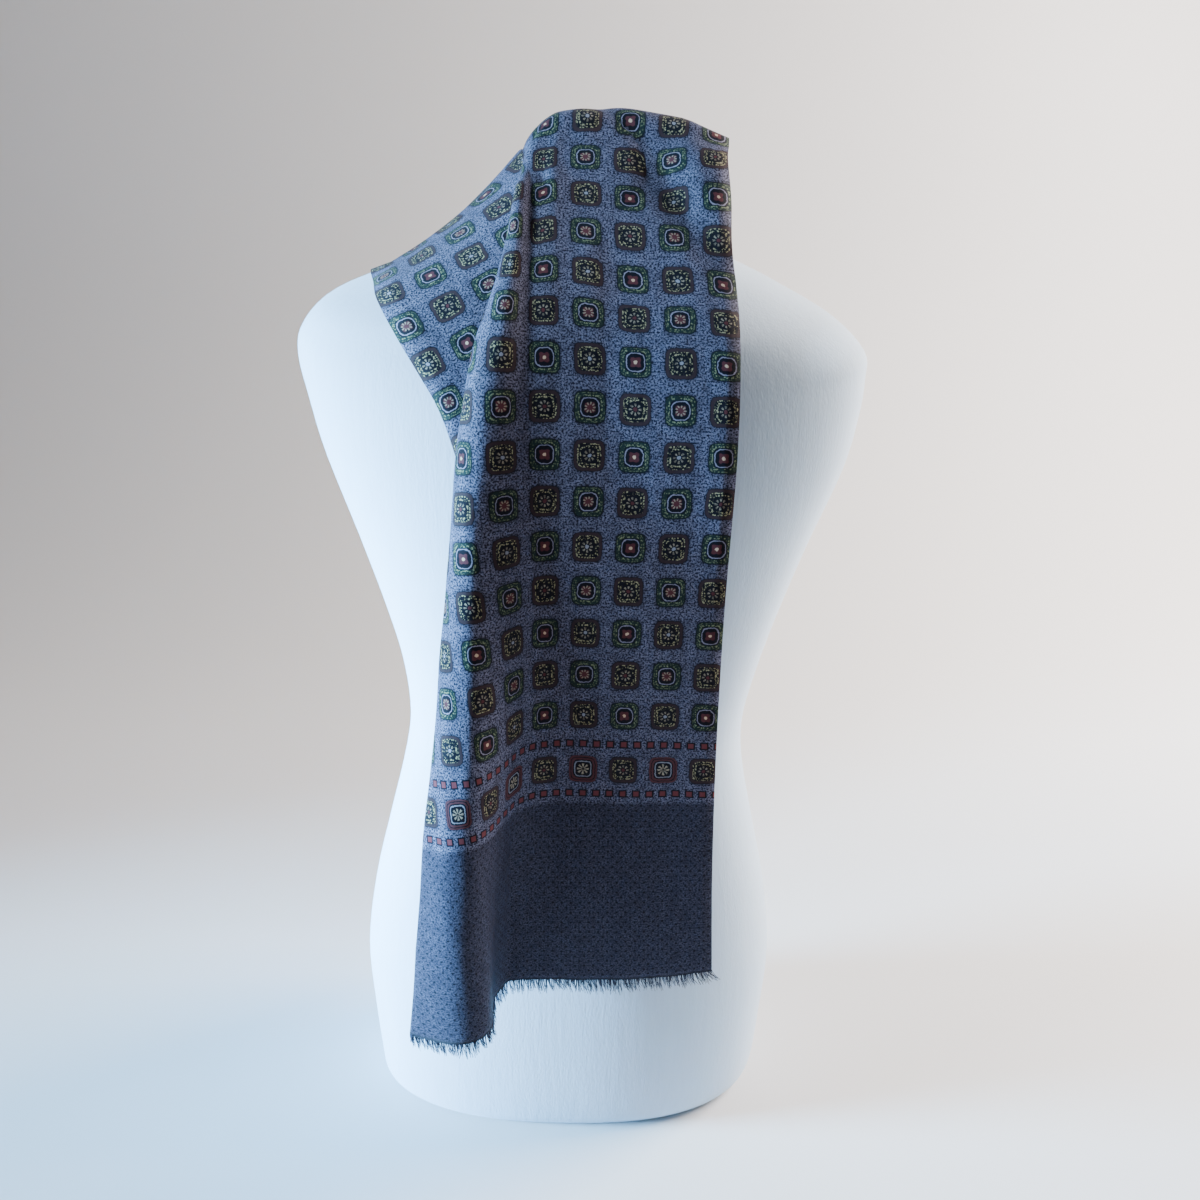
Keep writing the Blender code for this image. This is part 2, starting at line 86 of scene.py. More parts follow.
FORM_TABLE: Table = (
    # height, centre_x, centre_y, half_width, front_depth, back_depth, tilt, roll
    (0.0, -0.8, 0.0, 16.7, 9.2, 9.2, 0.0, 0.0),
    (0.5, -0.6, 0.0, 17.6, 9.9, 10.0, 0.0, 0.0),
    (2.2, -0.3, 0.0, 18.1, 10.3, 10.5, 0.0, 0.0),
    (7.3, -0.3, 0.0, 18.5, 10.6, 10.9, 0.0, 0.0),
    (14.2, -0.3, 0.0, 18.8, 10.6, 11.2, 0.0, 0.0),
    (21.0, -0.25, 0.0, 17.9, 10.0, 10.8, 0.0, 0.0),
    (27.4, -0.2, 0.0, 16.4, 9.2, 9.8, 0.0, 0.0),
    (33.6, -0.1, 0.0, 14.95, 8.7, 8.8, 0.0, 0.0),
    (38.0, 0.1, 0.0, 14.5, 8.7, 8.5, 0.0, 0.0),
    (43.0, 0.35, 0.0, 15.2, 9.2, 8.8, 0.0, 0.0),
    (48.0, 0.4, 0.0, 16.5, 9.9, 9.5, 0.0, 0.0),
    (54.0, 0.42, 0.0, 18.4, 10.6, 10.3, 0.0, 0.0),
    (60.5, 0.45, 0.0, 20.7, 10.8, 10.8, 0.0, 0.3),
    (65.0, 0.3, 0.0, 21.7, 10.5, 10.8, 2.0, 0.8),
    (68.0, 0.1, 0.0, 22.1, 10.0, 10.6, 5.0, 1.2),
    (70.0, 0.2, 0.0, 21.8, 9.4, 10.0, 8.0, 1.5),
    (72.0, 0.0, 0.0, 19.6, 8.8, 9.2, 12.0, 1.5),
    (73.8, 0.4, 0.0, 15.0, 8.1, 8.4, 17.0, 1.5),
    (75.6, 0.3, 0.0, 10.5, 7.3, 7.6, 22.0, 1.2),
    (77.6, 0.0, -0.1, 7.9, 6.3, 6.7, 28.0, 0.8),
    (79.2, 0.0, -0.4, 5.8, 5.6, 6.1, 34.0, 0.4),
    (80.7, 0.0, -1.2, 4.7, 5.0, 5.4, 43.0, 0.0),
    (81.9, 0.0, -2.2, 4.2, 4.7, 4.9, 51.0, 0.0),
)

PATH_TABLE: Table = (
    # length from the front hem, y, z of the flat part
    (0.0, -12.0, 18.2),
    (24.6, -12.0, 42.9),
    (41.4, -12.0, 59.7),
    (44.7, -11.98, 63.0),
    (48.0, -11.8, 66.3),
    (51.4, -11.2, 69.6),
    (54.7, -10.0, 72.6),
    (58.1, -8.3, 75.3),
    (61.4, -6.3, 77.85),
    (64.8, -4.2, 80.4),
    (68.1, -2.1, 82.8),
    (70.4, -0.7, 84.8),
    (71.8, 0.4, 86.25),
    (73.2, 1.8, 86.75),
    (75.0, 3.3, 85.8),
    (77.5, 5.0, 83.6),
    (82.0, 7.2, 79.7),
    (88.0, 9.6, 74.2),
    (94.0, 11.2, 68.4),
    (100.0, 12.0, 62.5),
    (120.0, 12.3, 42.5),
    (142.0, 12.4, 20.5),
)

SELVAGE_TABLE: Table = (
    # length, x of the middle column, x of the selvage, its sink, sink of the middle column, trough
    (0.0, -2.2, 12.0, -1.2, 0.0, 0.0),
    (10.0, -2.2, 11.5, -0.5, 0.0, 0.0),
    (20.0, -2.2, 11.2, 0.0, 0.0, 0.0),
    (34.0, -2.2, 11.1, 0.0, 0.0, 0.0),
    (44.7, -2.2, 11.3, 0.0, 0.0, 0.1),
    (51.4, -2.3, 11.2, 0.4, 0.0, 0.3),
    (54.7, -2.5, 11.1, 0.7, 0.0, 0.6),
    (58.1, -2.6, 10.9, 1.0, 0.1, 1.0),
    (61.4, -2.8, 10.6, 0.6, 0.2, 0.6),
    (64.8, -2.9, 10.6, 0.3, 0.2, 0.7),
    (68.1, -3.0, 10.4, -0.1, 0.4, 0.6),
    (71.0, -3.0, 10.6, 1.5, 0.9, 0.6),
    (73.2, -3.0, 10.7, 2.5, 1.3, 0.3),
    (77.5, -2.8, 10.9, 2.0, 0.8, 0.3),
    (82.0, -2.6, 11.2, 1.4, 0.6, 0.3),
    (100.0, -2.2, 11.0, 0.4, 0.3, 0.0),
    (142.0, -2.2, 9.6, 0.6, 0.0, 0.0),
)

ROLL_TABLE: Table = (
    # length, cloth position of the edge, then x and how far out for five points, sag
    (0.0, 1.5, -5.0, -0.2, -6.5, 1.7, -5.6, 5.4, -8.5, 6.0, -13.0, 3.7, 2.9),
    (6.0, 2.0, -4.9, 0.2, -6.1, 2.6, -5.9, 5.6, -8.8, 6.3, -12.3, 4.2, 2.4),
    (12.0, 2.6, -4.7, 0.9, -5.7, 3.4, -6.3, 5.8, -8.9, 6.4, -11.7, 4.7, 1.8),
    (19.8, 3.6, -4.3, 1.5, -5.2, 4.2, -6.7, 5.8, -8.9, 6.2, -10.9, 5.1, 1.2),
    (24.6, 4.9, -4.0, 1.3, -4.9, 3.7, -6.6, 5.1, -8.7, 5.4, -10.3, 4.6, 0.9),
    (31.3, 6.2, -3.8, 1.0, -4.9, 2.8, -6.8, 3.9, -8.6, 4.1, -9.8, 3.5, 0.7),
    (38.0, 7.8, -3.7, 0.6, -5.0, 1.9, -6.8, 2.6, -8.4, 2.6, -9.3, 2.0, 0.5),
    (44.7, 8.8, -3.7, 0.4, -5.0, 1.1, -6.7, 1.4, -8.0, 1.2, -8.8, 0.7, 0.3),
    (51.4, 10.1, -3.5, 0.3, -4.7, 0.6, -5.9, 0.9, -7.0, 0.8, -7.7, 0.1, 0.1),
    (58.1, 11.5, -3.4, 0.2, -4.1, 0.4, -4.8, 0.6, -5.4, 0.5, -5.8, 0.0, 0.1),
    (64.8, 12.9, -3.4, 0.1, -3.9, 0.3, -4.3, 0.5, -4.7, 0.5, -5.0, 0.1, 0.3),
    (70.4, 14.1, -3.3, 0.0, -3.7, 0.1, -4.0, 0.2, -4.3, 0.2, -4.6, 0.0, 1.8),
    (73.2, 14.6, -3.3, 0.0, -3.7, 0.0, -4.1, 0.0, -4.5, 0.0, -4.8, -0.1, 2.3),
    (77.5, 14.4, -3.2, 0.0, -3.7, 0.0, -4.2, 0.0, -4.7, 0.0, -5.1, -0.1, 1.9),
    (82.0, 13.6, -2.9, 0.0, -3.6, 0.0, -4.2, 0.0, -4.9, 0.0, -5.4, -0.1, 2.1),
    (88.0, 12.0, -2.8, 0.0, -3.8, 0.0, -4.9, 0.0, -5.9, 0.0, -6.8, 0.0, 2.7),
    (100.0, 10.0, -2.5, 0.2, -3.6, 0.6, -4.8, 0.7, -6.0, 0.3, -7.2, 0.0, 3.6),
    (120.0, 10.0, -2.2, 0.7, -3.0, 1.5, -4.2, 1.5, -5.2, 0.8, -6.3, 0.1, 4.6),
    (142.0, 10.0, -1.9, 1.1, -2.6, 2.4, -3.7, 2.4, -4.6, 1.2, -5.6, 0.1, 5.6),
)

SHOULDER_TABLE: Table = (
    # length, inner fold cloth position, inner fold xyz, middle xyz, selvage xyz
    (0.0, 0.8, -11.9, -14.9, 15.4, -12.1, -14.5, 15.3, -12.4, -14.3, 15.2),
    (12.0, 1.4, -10.6, -15.9, 28.3, -10.9, -15.6, 28.1, -11.2, -15.5, 27.9),
    (19.8, 1.9, -9.5, -16.5, 36.7, -9.9, -16.1, 36.4, -10.4, -15.9, 36.1),
    (31.3, 3.2, -8.0, -14.8, 48.0, -8.6, -14.4, 47.4, -9.3, -14.1, 46.8),
    (38.0, 3.9, -6.4, -13.4, 54.1, -7.4, -13.0, 52.9, -8.6, -12.7, 51.9),
    (44.7, 4.2, -4.9, -12.0, 60.2, -6.4, -11.8, 58.8, -7.9, -11.6, 57.7),
    (51.4, 6.0, -4.3, -10.7, 66.2, -6.4, -10.9, 64.2, -8.7, -10.8, 62.6),
    (54.7, 7.3, -4.1, -9.8, 69.3, -6.8, -10.2, 67.3, -9.9, -10.2, 65.7),
    (58.1, 8.6, -4.1, -8.2, 72.6, -7.6, -9.4, 70.2, -11.5, -9.3, 68.2),
    (61.4, 9.9, -4.1, -6.2, 75.6, -8.5, -7.8, 72.8, -13.2, -8.0, 70.6),
    (64.8, 11.2, -4.3, -4.3, 77.8, -9.4, -5.4, 75.0, -14.9, -5.3, 72.7),
    (68.1, 12.5, -4.1, -2.4, 80.6, -10.0, -2.2, 76.6, -15.8, -1.8, 73.6),
    (71.0, 13.6, -4.0, -0.5, 82.7, -10.7, 0.6, 77.1, -16.5, 1.2, 73.9),
    (73.2, 13.9, -4.8, 1.7, 83.4, -11.2, 3.0, 76.9, -16.9, 3.3, 74.0),
    (77.5, 13.6, -5.4, 4.8, 80.9, -11.6, 6.5, 75.1, -17.2, 6.7, 71.8),
    (82.0, 12.8, -6.5, 7.1, 76.3, -11.8, 9.0, 72.4, -17.1, 9.0, 67.7),
    (88.0, 11.0, -8.2, 9.6, 70.3, -11.9, 11.0, 66.8, -16.6, 11.0, 62.2),
    (100.0, 9.0, -8.8, 12.0, 57.6, -11.4, 13.1, 55.1, -15.6, 12.6, 50.6),
    (120.0, 9.0, -7.6, 12.4, 36.9, -10.0, 14.6, 34.6, -14.2, 13.2, 31.0),
    (142.0, 9.0, -6.9, 12.9, 14.1, -8.8, 16.0, 12.2, -12.8, 14.0, 9.2),
)


# Curves, meshes and reports.

def smooth_rows(table: Table, at: float) -> np.ndarray:
    """Read a table whose first column rises at one value, with a smooth curve.

    Args:
        table: Rows of numbers; the first number of each row is its key.
        at: The key to read at.

    Returns:
        The remaining columns at that key.
    """
    keys = np.array([row[0] for row in table])
    values = np.array([row[1:] for row in table])
    steps = np.diff(keys)[:, None]
    slopes = np.diff(values, axis=0) / steps
    tangent = np.zeros_like(values)
    tangent[0] = slopes[0]
    tangent[-1] = slopes[-1]
    weight = steps[:-1] / (steps[:-1] + steps[1:])
    tangent[1:-1] = slopes[:-1] * (1.0 - weight) + slopes[1:] * weight
    index = int(np.clip(np.searchsorted(keys, at) - 1, 0, len(keys) - 2))
    step = keys[index + 1] - keys[index]
    x = (at - keys[index]) / step
    return (
        values[index] * (2 * x**3 - 3 * x**2 + 1)
        + tangent[index] * step * (x**3 - 2 * x**2 + x)
        + values[index + 1] * (3 * x**2 - 2 * x**3)
        + tangent[index + 1] * step * (x**3 - x**2)
    )


def spline_weights(count: int, where: float) -> np.ndarray:
    """Weights of a clamped cubic B-spline at one place.

    Args:
        count: Number of control points.
        where: Place along the spline, from 0 to its number of spans.

    Returns:
        One weight for each control point.
    """
    spans = count - CUBIC
    knots = np.concatenate(([0.0] * CUBIC, np.arange(spans + 1), [float(spans)] * CUBIC))
    where = min(max(where, 0.0), spans - TINY)
    basis = np.array([1.0 if a <= where < b else 0.0 for a, b in zip(knots[:-1], knots[1:])])
    for degree in range(1, CUBIC + 1):
        raised = np.zeros(len(basis) - 1)
        for i in range(len(raised)):
            left, right = knots[i + degree] - knots[i], knots[i + degree + 1] - knots[i + 1]
            if left > 0:
                raised[i] += (where - knots[i]) / left * basis[i]
            if right > 0:
                raised[i] += (knots[i + degree + 1] - where) / right * basis[i + 1]
        basis = raised
    return basis


def new_object(name: str, points: Sequence[Point], faces: Sequence[Sequence[int]]) -> bpy.types.Object:
    """Add a smooth-shaded mesh object to the scene.

    Args:
        name: Name of the object.
        points: One row of x, y, z in metres for each vertex.
        faces: Vertex numbers of each face.

    Returns:
        The new object.
    """
    mesh = bpy.data.meshes.new(name)
    mesh.from_pydata(np.asarray(points).tolist(), [], [tuple(face) for face in faces])
    mesh.polygons.foreach_set("use_smooth", [True] * len(mesh.polygons))
    mesh.update()
    item = bpy.data.objects.new(name, mesh)
    bpy.context.scene.collection.objects.link(item)
    return item


def new_piece(name: str, points: np.ndarray, faces: Sequence[Sequence[int]]) -> bpy.types.Object:
    """Add a smooth-shaded mesh object that rides on the root body.

    Args:
        name: Name of the piece.
        points: One row of x, y, z in metres for each vertex.
        faces: Vertex numbers of each face.

    Returns:
        The new object.
    """
    piece = new_object(name, points, faces)
    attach(piece, ROOT)
    return piece


def add_attribute(piece: bpy.types.Object, name: str, values: np.ndarray) -> None:
    """Store a vector at each vertex of a piece.

    Args:
        piece: The object.
        name: Name that its material reads.
        values: One row of three numbers for each vertex.
    """
    store = piece.data.attributes.new(name, "FLOAT_VECTOR", "POINT")
    store.data.foreach_set("vector", values.astype(np.float32).ravel())


def report(piece: bpy.types.Object) -> None:
    """Log the size of a finished piece."""
    LOG.info("%s: %d vertices, %d faces", piece.name, len(piece.data.vertices), len(piece.data.polygons))


# Node expressions.

Number = Union["Val", float]


class Val:
    """A number in a material's node tree that can be used in arithmetic."""

    def __init__(self, graph: "Graph", source: Union[bpy.types.NodeSocket, float]) -> None:
        """Hold an output socket, or a plain number, of one node tree."""
        self.graph = graph
        self.source = source

    def _math(self, operation: str, *others: Number) -> "Val":
        """Add one Math node.

        Args:
            operation: Blender's name of the operation.
            others: The other inputs, after this value.

        Returns:
            The node's result.
        """
        node = self.graph.add("ShaderNodeMath")
        node.operation = operation
        for number, item in enumerate((self, *others)):
            self.graph.feed(item, node.inputs[number])
        return Val(self.graph, node.outputs[0])

    def __add__(self, other: Number) -> "Val":
        """Sum of the two values."""
        return self._math("ADD", other)

    def __sub__(self, other: Number) -> "Val":
        """This value less the other."""
        return self._math("SUBTRACT", other)

    def __mul__(self, other: Number) -> "Val":
        """Product of the two values."""
        return self._math("MULTIPLY", other)

    def __truediv__(self, other: Number) -> "Val":
        """This value over the other."""
        return self._math("DIVIDE", other)

    def __abs__(self) -> "Val":
        """This value without its sign."""
        return self._math("ABSOLUTE")

    def low(self, other: Number) -> "Val":
        """The smaller of the two values."""
        return self._math("MINIMUM", other)

    def high(self, other: Number) -> "Val":
        """The larger of the two values."""
        return self._math("MAXIMUM", other)

    def root(self) -> "Val":
        """Square root."""
        return self._math("SQRT")

    def power(self, exponent: Number) -> "Val":
        """This value to a power."""
        return self._math("POWER", exponent)

    def cosine(self) -> "Val":
        """Cosine of an angle in radians."""
        return self._math("COSINE")

    def angle(self, other: Number) -> "Val":
        """Arc tangent of this value over the other."""
        return self._math("ARCTAN2", other)

    def over(self, edge: Number) -> "Val":
        """1 where this value is over the edge, else 0."""
        return self._math("GREATER_THAN", edge)

    def nearest(self) -> "Val":
        """The nearest whole number."""
        return (self + 0.5)._math("FLOOR")

    def odd(self) -> "Val":
        """1 where a whole number is odd, else 0."""
        return self._math("FLOORED_MODULO", 2.0)

    def inverse(self) -> "Val":
        """One minus this value."""
        return Val(self.graph, 1.0)._math("SUBTRACT", self)

    def ramp(self, start: float, end: float) -> "Val":
        """Soft step across two values.

        Args:
            start: Where the step is 0.
            end: Where the step is 1; it may lie below start.

        Returns:
            The step, from 0 to 1.
        """
        node = self.graph.add("ShaderNodeMapRange")
        node.interpolation_type = "SMOOTHSTEP"
        flipped = start > end
        self.graph.feed(self, node.inputs[0])
        node.inputs[1].default_value = end if flipped else start
        node.inputs[2].default_value = start if flipped else end
        node.inputs[3].default_value = 1.0 if flipped else 0.0
        node.inputs[4].default_value = 0.0 if flipped else 1.0
        return Val(self.graph, node.outputs[0])

    def band(self, start: float, end: float, soft: float = 0.02) -> "Val":
        """1 between start and end, with soft edges."""
        return self.ramp(start - soft, start + soft) * self.ramp(end + soft, end - soft)


@dataclass(frozen=True)
class Surface:
    """How a material takes the light; spread is how far noise may add to its roughness."""

    roughness: float
    specular: float
    sheen: float = 0.0
    sheen_tint: Colour = (1.0, 1.0, 1.0)
    sheen_roughness: float = 0.5
    spread: float = 0.0


class Graph:
    """Builds the node tree of one Principled material."""

    def __init__(self, name: str) -> None:
        """Start a material.

        Args:
            name: Name of the material.
        """
        self.material = bpy.data.materials.new(name)
        self.material.use_nodes = True
        self.tree = self.material.node_tree
        self.shader = self.tree.nodes["Principled BSDF"]

    def add(self, kind: str) -> bpy.types.Node:
        """Add a node by Blender's name of its class."""
        return self.tree.nodes.new(kind)

    def feed(self, item: Union[Val, bpy.types.NodeSocket, float], socket: bpy.types.NodeSocket) -> None:
        """Give a socket a value or a link.

        Args:
            item: A number, a value in this tree or an output socket.
            socket: The input that takes it.
        """
        source = item.source if isinstance(item, Val) else item
        if isinstance(source, (int, float)):
            socket.default_value = float(source)
        else:
            self.tree.links.new(source, socket)

    def split(self, socket: bpy.types.NodeSocket) -> tuple[Val, Val, Val]:
        """Part a vector socket into its three numbers.

        Args:
            socket: The vector's socket.

        Returns:
            Its x, y and z.
        """
        parts = self.add("ShaderNodeSeparateXYZ")
        self.tree.links.new(socket, parts.inputs[0])
        return tuple(Val(self, output) for output in parts.outputs)

    def attribute(self, name: str) -> tuple[Val, Val, Val]:
        """Read a vector attribute of the mesh.

        Args:
            name: Name of the attribute.

        Returns:
            Its three parts.
        """
        node = self.add("ShaderNodeAttribute")
        node.attribute_name = name
        return self.split(node.outputs["Vector"])

    def vector(self, x: Number, y: Number, z: Number) -> bpy.types.NodeSocket:
        """Join three numbers into a vector.

        Args:
            x: First part.
            y: Second part.
            z: Third part.

        Returns:
            The vector's socket.
        """
        node = self.add("ShaderNodeCombineXYZ")
        for item, socket in zip((x, y, z), node.inputs):
            self.feed(item, socket)
        return node.outputs[0]

    def noise(
        self, where: bpy.types.NodeSocket, scale: float, detail: float = 2.0, rough: float = 0.5
    ) -> Val:
        """Fractal noise from 0 to 1.

        Args:
            where: Vector socket to read at.
            scale: Cells per unit.
            detail: Number of finer layers.
            rough: Strength of the finer layers.

        Returns:
            The noise value.
        """
        node = self.add("ShaderNodeTexNoise")
        self.tree.links.new(where, node.inputs["Vector"])
        node.inputs["Scale"].default_value = scale
        node.inputs["Detail"].default_value = detail
        node.inputs["Roughness"].default_value = rough
        return Val(self, node.outputs[0])

    def cells(self, where: bpy.types.NodeSocket, scale: float) -> Val:
        """Distance to the nearest of scattered points.

        Args:
            where: Vector socket to read at.
            scale: Points per unit.

        Returns:
            The distance, 0 at a point.
        """
        node = self.add("ShaderNodeTexVoronoi")
        self.tree.links.new(where, node.inputs["Vector"])
        node.inputs["Scale"].default_value = scale
        return Val(self, node.outputs["Distance"])

    def mix(
        self,
        share: Number,
        first: Union[Colour, bpy.types.NodeSocket],
        second: Union[Colour, bpy.types.NodeSocket],
    ) -> bpy.types.NodeSocket:
        """Mix two colours.

        Args:
            share: 0 for the first colour, 1 for the second.
            first: A colour or a colour socket.
            second: A colour or a colour socket.

        Returns:
            The mixed colour's socket.
        """
        node = self.add("ShaderNodeMix")
        node.data_type = "RGBA"
        self.feed(share, node.inputs[0])
        for colour, socket in ((first, node.inputs[6]), (second, node.inputs[7])):
            if isinstance(colour, tuple):
                socket.default_value = (*colour, 1.0)
            else:
                self.tree.links.new(colour, socket)
        return node.outputs[2]

    def bump(
        self, height: Val, depth: float, below: Union[bpy.types.NodeSocket, None] = None
    ) -> bpy.types.NodeSocket:
        """Raise the surface by a height value.

        Args:
            height: The height, from 0 to 1.
            depth: Real depth in metres of a height of 1.
            below: Normal that this bump is laid on, if any.

        Returns:
            The normal's socket.
        """
        node = self.add("ShaderNodeBump")
        node.inputs["Strength"].default_value = 1.0
        node.inputs["Distance"].default_value = depth
        self.feed(height, node.inputs["Height"])
        if below is not None:
            self.tree.links.new(below, node.inputs["Normal"])
        return node.outputs[0]

    def finish(
        self,
        colour: bpy.types.NodeSocket,
        normal: bpy.types.NodeSocket,
        surface: Surface,
        wear: Union[Val, None] = None,
    ) -> bpy.types.Material:
        """Connect the surface to the shader.

        Args:
            colour: Base colour.
            normal: Surface normal.
            surface: How it takes the light.
            wear: Noise that makes the roughness uneven, if any.

        Returns:
            The material.
        """
        shader = self.shader
        roughness = surface.roughness if wear is None else wear * surface.spread + surface.roughness
        self.tree.links.new(colour, shader.inputs["Base Color"])
        self.tree.links.new(normal, shader.inputs["Normal"])
        self.feed(roughness, shader.inputs["Roughness"])
        shader.inputs["Sheen Weight"].default_value = surface.sheen
        shader.inputs["Sheen Tint"].default_value = (*surface.sheen_tint, 1.0)
        shader.inputs["Sheen Roughness"].default_value = surface.sheen_roughness
        shader.inputs["Specular IOR Level"].default_value = surface.specular
        return self.material


# Finishes.

@dataclass(frozen=True)
class Edge:
    """A soft edge: 0 at start and 1 at end."""

    start: float
    end: float

    def mask(self, value: Val) -> Val:
        """Soft step of a value across this edge."""
        return value.ramp(self.start, self.end)

    def moved(self, by: float) -> "Edge":
        """The same edge, moved along by a distance."""
        return Edge(self.start + by, self.end + by)


@dataclass(frozen=True)
class Band:
    """A stretch between two values, with soft edges."""

    start: float
    end: float
    soft: float = 0.03

    def mask(self, value: Val) -> Val:
        """1 where the value lies in this band, else 0."""
        return value.band(self.start, self.end, self.soft)


@dataclass(frozen=True)
class Repeat:
    """Layout of the printed foulard repeat, in centimetres of flat cloth."""

    column_pitch: float = 3.1
    column_start: float = 0.96
    row_pitch: float = 3.35
    row_start: float = 24.6
    half_width: float = 1.09
    half_height: float = 1.14
    squareness: float = 4.6
    fray: float = 0.13
    fray_scale: float = 5.2
    border_row: float = 19.95
    border_reach: Edge = Edge(1.5, 1.3)
    upper_squares: float = 22.15
    lower_squares: float = 17.85
    squares_per_column: float = 3.0
    square_half: float = 0.22
    square_halo: Edge = Edge(0.13, 0.08)
    square_edge: Edge = Edge(0.01, -0.03)
    field_start: float = 22.9
    motifs_start: float = 18.45
    plain_edge: Edge = Edge(17.3, 16.7)
    dot_pitch_across: float = 0.72
    dot_pitch_along: float = 0.96
    dot_radius: float = 0.092
    dot_edge: Edge = Edge(0.02, -0.02)
    total_length: float = 143.0
    drift: float = 0.10
    drift_scale: float = 1.3


@dataclass(frozen=True)
class Palette:
    """Base colours of the print."""

    ground_light: Colour = (0.147, 0.155, 0.243)
    ground_dark: Colour = (0.011, 0.011, 0.022)
    black: Colour = (0.008, 0.008, 0.013)
    green: Colour = (0.013, 0.024, 0.023)
    green_speck: Colour = (0.163, 0.196, 0.120)
    pale_line: Colour = (0.216, 0.213, 0.299)
    maroon: Colour = (0.078, 0.026, 0.032)
    brown: Colour = (0.034, 0.022, 0.027)
    cream: Colour = (0.520, 0.370, 0.265)
    petal: Colour = (0.320, 0.285, 0.225)
    olive_speck: Colour = (0.301, 0.284, 0.175)
    ice: Colour = (0.205, 0.220, 0.280)
    red: Colour = (0.130, 0.036, 0.043)
    red_band: Colour = (0.080, 0.030, 0.036)
    reverse: Colour = (0.100, 0.095, 0.135)


@dataclass(frozen=True)
class ClothPlace:
    """Where a point lies on the flat cloth, as node values in centimetres."""

    flat: bpy.types.NodeSocket
    across: Val
    along: Val
    from_end: Val
    plain: Val


@dataclass(frozen=True)
class MotifPlace:
    """Where a point lies in its motif: how far in, how far from the centre, and its angle."""

    inset: Val
    radius: Val
    turn: Val
    speck: Val


@dataclass(frozen=True)
class Flower:
    """Ring of petals round a motif's centre."""

    petals: float
    ring: Band
    edge: Edge
    share: float = 1.0

    def mask(self, place: MotifPlace) -> Val:
        """Strength of the petals at a place in the motif."""
        return self.ring.mask(place.radius) * self.edge.mask((place.turn * self.petals).cosine()) * self.share


@dataclass(frozen=True)
class GreenMotif:
    """Green-ringed motif with a pale inner line, round a flower or a dotted core."""

    ring: Band = Band(0.06, 0.38, 0.04)
    outer_lace: Band = Band(0.10, 0.17)
    outer_lace_share: float = 0.7
    inner_lace: Band = Band(0.23, 0.35)
    lobes: float = 4.0
    line: Band = Band(0.44, 0.50, 0.025)
    line_notch: float = 0.05
    core: Edge = Edge(0.41, 0.34)
    core_lobe: float = 0.07
    core_inset: Edge = Edge(0.56, 0.62)
    flower: Flower = Flower(9.0, Band(0.20, 0.38), Edge(-0.1, 0.4), 0.65)
    dot: Edge = Edge(0.15, 0.10)

    def colour(self, graph: Graph, place: MotifPlace, palette: Palette, bloom: Val) -> bpy.types.NodeSocket:
        """Colour the motif.

        Args:
            graph: The tree to build in.
            place: Where the point lies in the motif.
            palette: The print's colours.
            bloom: 1 where the core is a flower, 0 where it is a dot.

        Returns:
            The motif's colour.
        """
        colour = graph.mix(self.ring.mask(place.inset), palette.black, palette.green)
        lace = self.outer_lace.mask(place.inset) * self.outer_lace_share + self.inner_lace.mask(place.inset)
        colour = graph.mix(lace * place.speck, colour, palette.green_speck)
        wave = (place.turn * self.lobes).cosine()
        notched = place.inset + wave.low(0.0) * self.line_notch
        colour = graph.mix(self.line.mask(notched), colour, palette.pale_line)
        core = self.core.mask(place.radius + wave * self.core_lobe) * self.core_inset.mask(place.inset)
        colour = graph.mix(core, colour, palette.maroon)
        colour = graph.mix(self.flower.mask(place) * bloom, colour, palette.petal)
        return graph.mix(self.dot.mask(place.radius) * bloom.inverse(), colour, palette.cream)


@dataclass(frozen=True)
class BrownMotif:
    """Brown-edged dark motif with two rings of specks round a small flower."""

    edge: Edge = Edge(0.20, 0.32)
    outline: Edge = Edge(0.07, 0.01)
    outer_specks: Band = Band(0.27, 0.36)
    inner_specks: Band = Band(0.43, 0.55)
    flower: Flower = Flower(8.0, Band(0.22, 0.42), Edge(-0.3, 0.3), 0.75)
    flower_break: Edge = Edge(-0.4, 0.5)
    core: Edge = Edge(0.16, 0.11)

    def colour(self, graph: Graph, place: MotifPlace, palette: Palette, iced: Val) -> bpy.types.NodeSocket:
        """Colour the motif.

        Args:
            graph: The tree to build in.
            place: Where the point lies in the motif.
            palette: The print's colours.
            iced: 1 where the centre is a pale blue dot.

        Returns:
            The motif's colour.
        """
        colour = graph.mix(self.edge.mask(place.inset), palette.brown, palette.black)
        colour = graph.mix(self.outline.mask(place.inset), colour, palette.black)
        specks = self.outer_specks.mask(place.inset).high(self.inner_specks.mask(place.inset))
        colour = graph.mix(specks * place.speck, colour, palette.olive_speck)
        petals = self.flower.mask(place) * self.flower_break.mask(place.speck)
        colour = graph.mix(petals, colour, palette.petal)
        centre = graph.mix(iced, palette.maroon, palette.ice)
        return graph.mix(self.core.mask(place.radius), colour, centre)


@dataclass(frozen=True)
class RedMotif:
    """Border motif with a doubled red-brown band and a pale line round a flower."""

    outer_band: Band = Band(0.0, 0.13, 0.02)
    inner_band: Band = Band(0.19, 0.33, 0.02)
    line: Band = Band(0.43, 0.51, 0.02)
    flower: Flower = Flower(8.0, Band(0.08, 0.46), Edge(-0.4, 0.2))
    flower_break: Edge = Edge(-0.8, 0.5)

    def colour(self, graph: Graph, place: MotifPlace, palette: Palette) -> bpy.types.NodeSocket:
        """Colour the motif.

        Args:
            graph: The tree to build in.
            place: Where the point lies in the motif.
            palette: The print's colours.

        Returns:
            The motif's colour.
        """
        colour = graph.mix(self.outer_band.mask(place.inset), palette.black, palette.red_band)
        colour = graph.mix(self.inner_band.mask(place.inset), colour, palette.red_band)
        colour = graph.mix(self.line.mask(place.inset), colour, palette.ice)
        petals = self.flower.mask(place) * self.flower_break.mask(place.speck)
        return graph.mix(petals, colour, palette.petal)


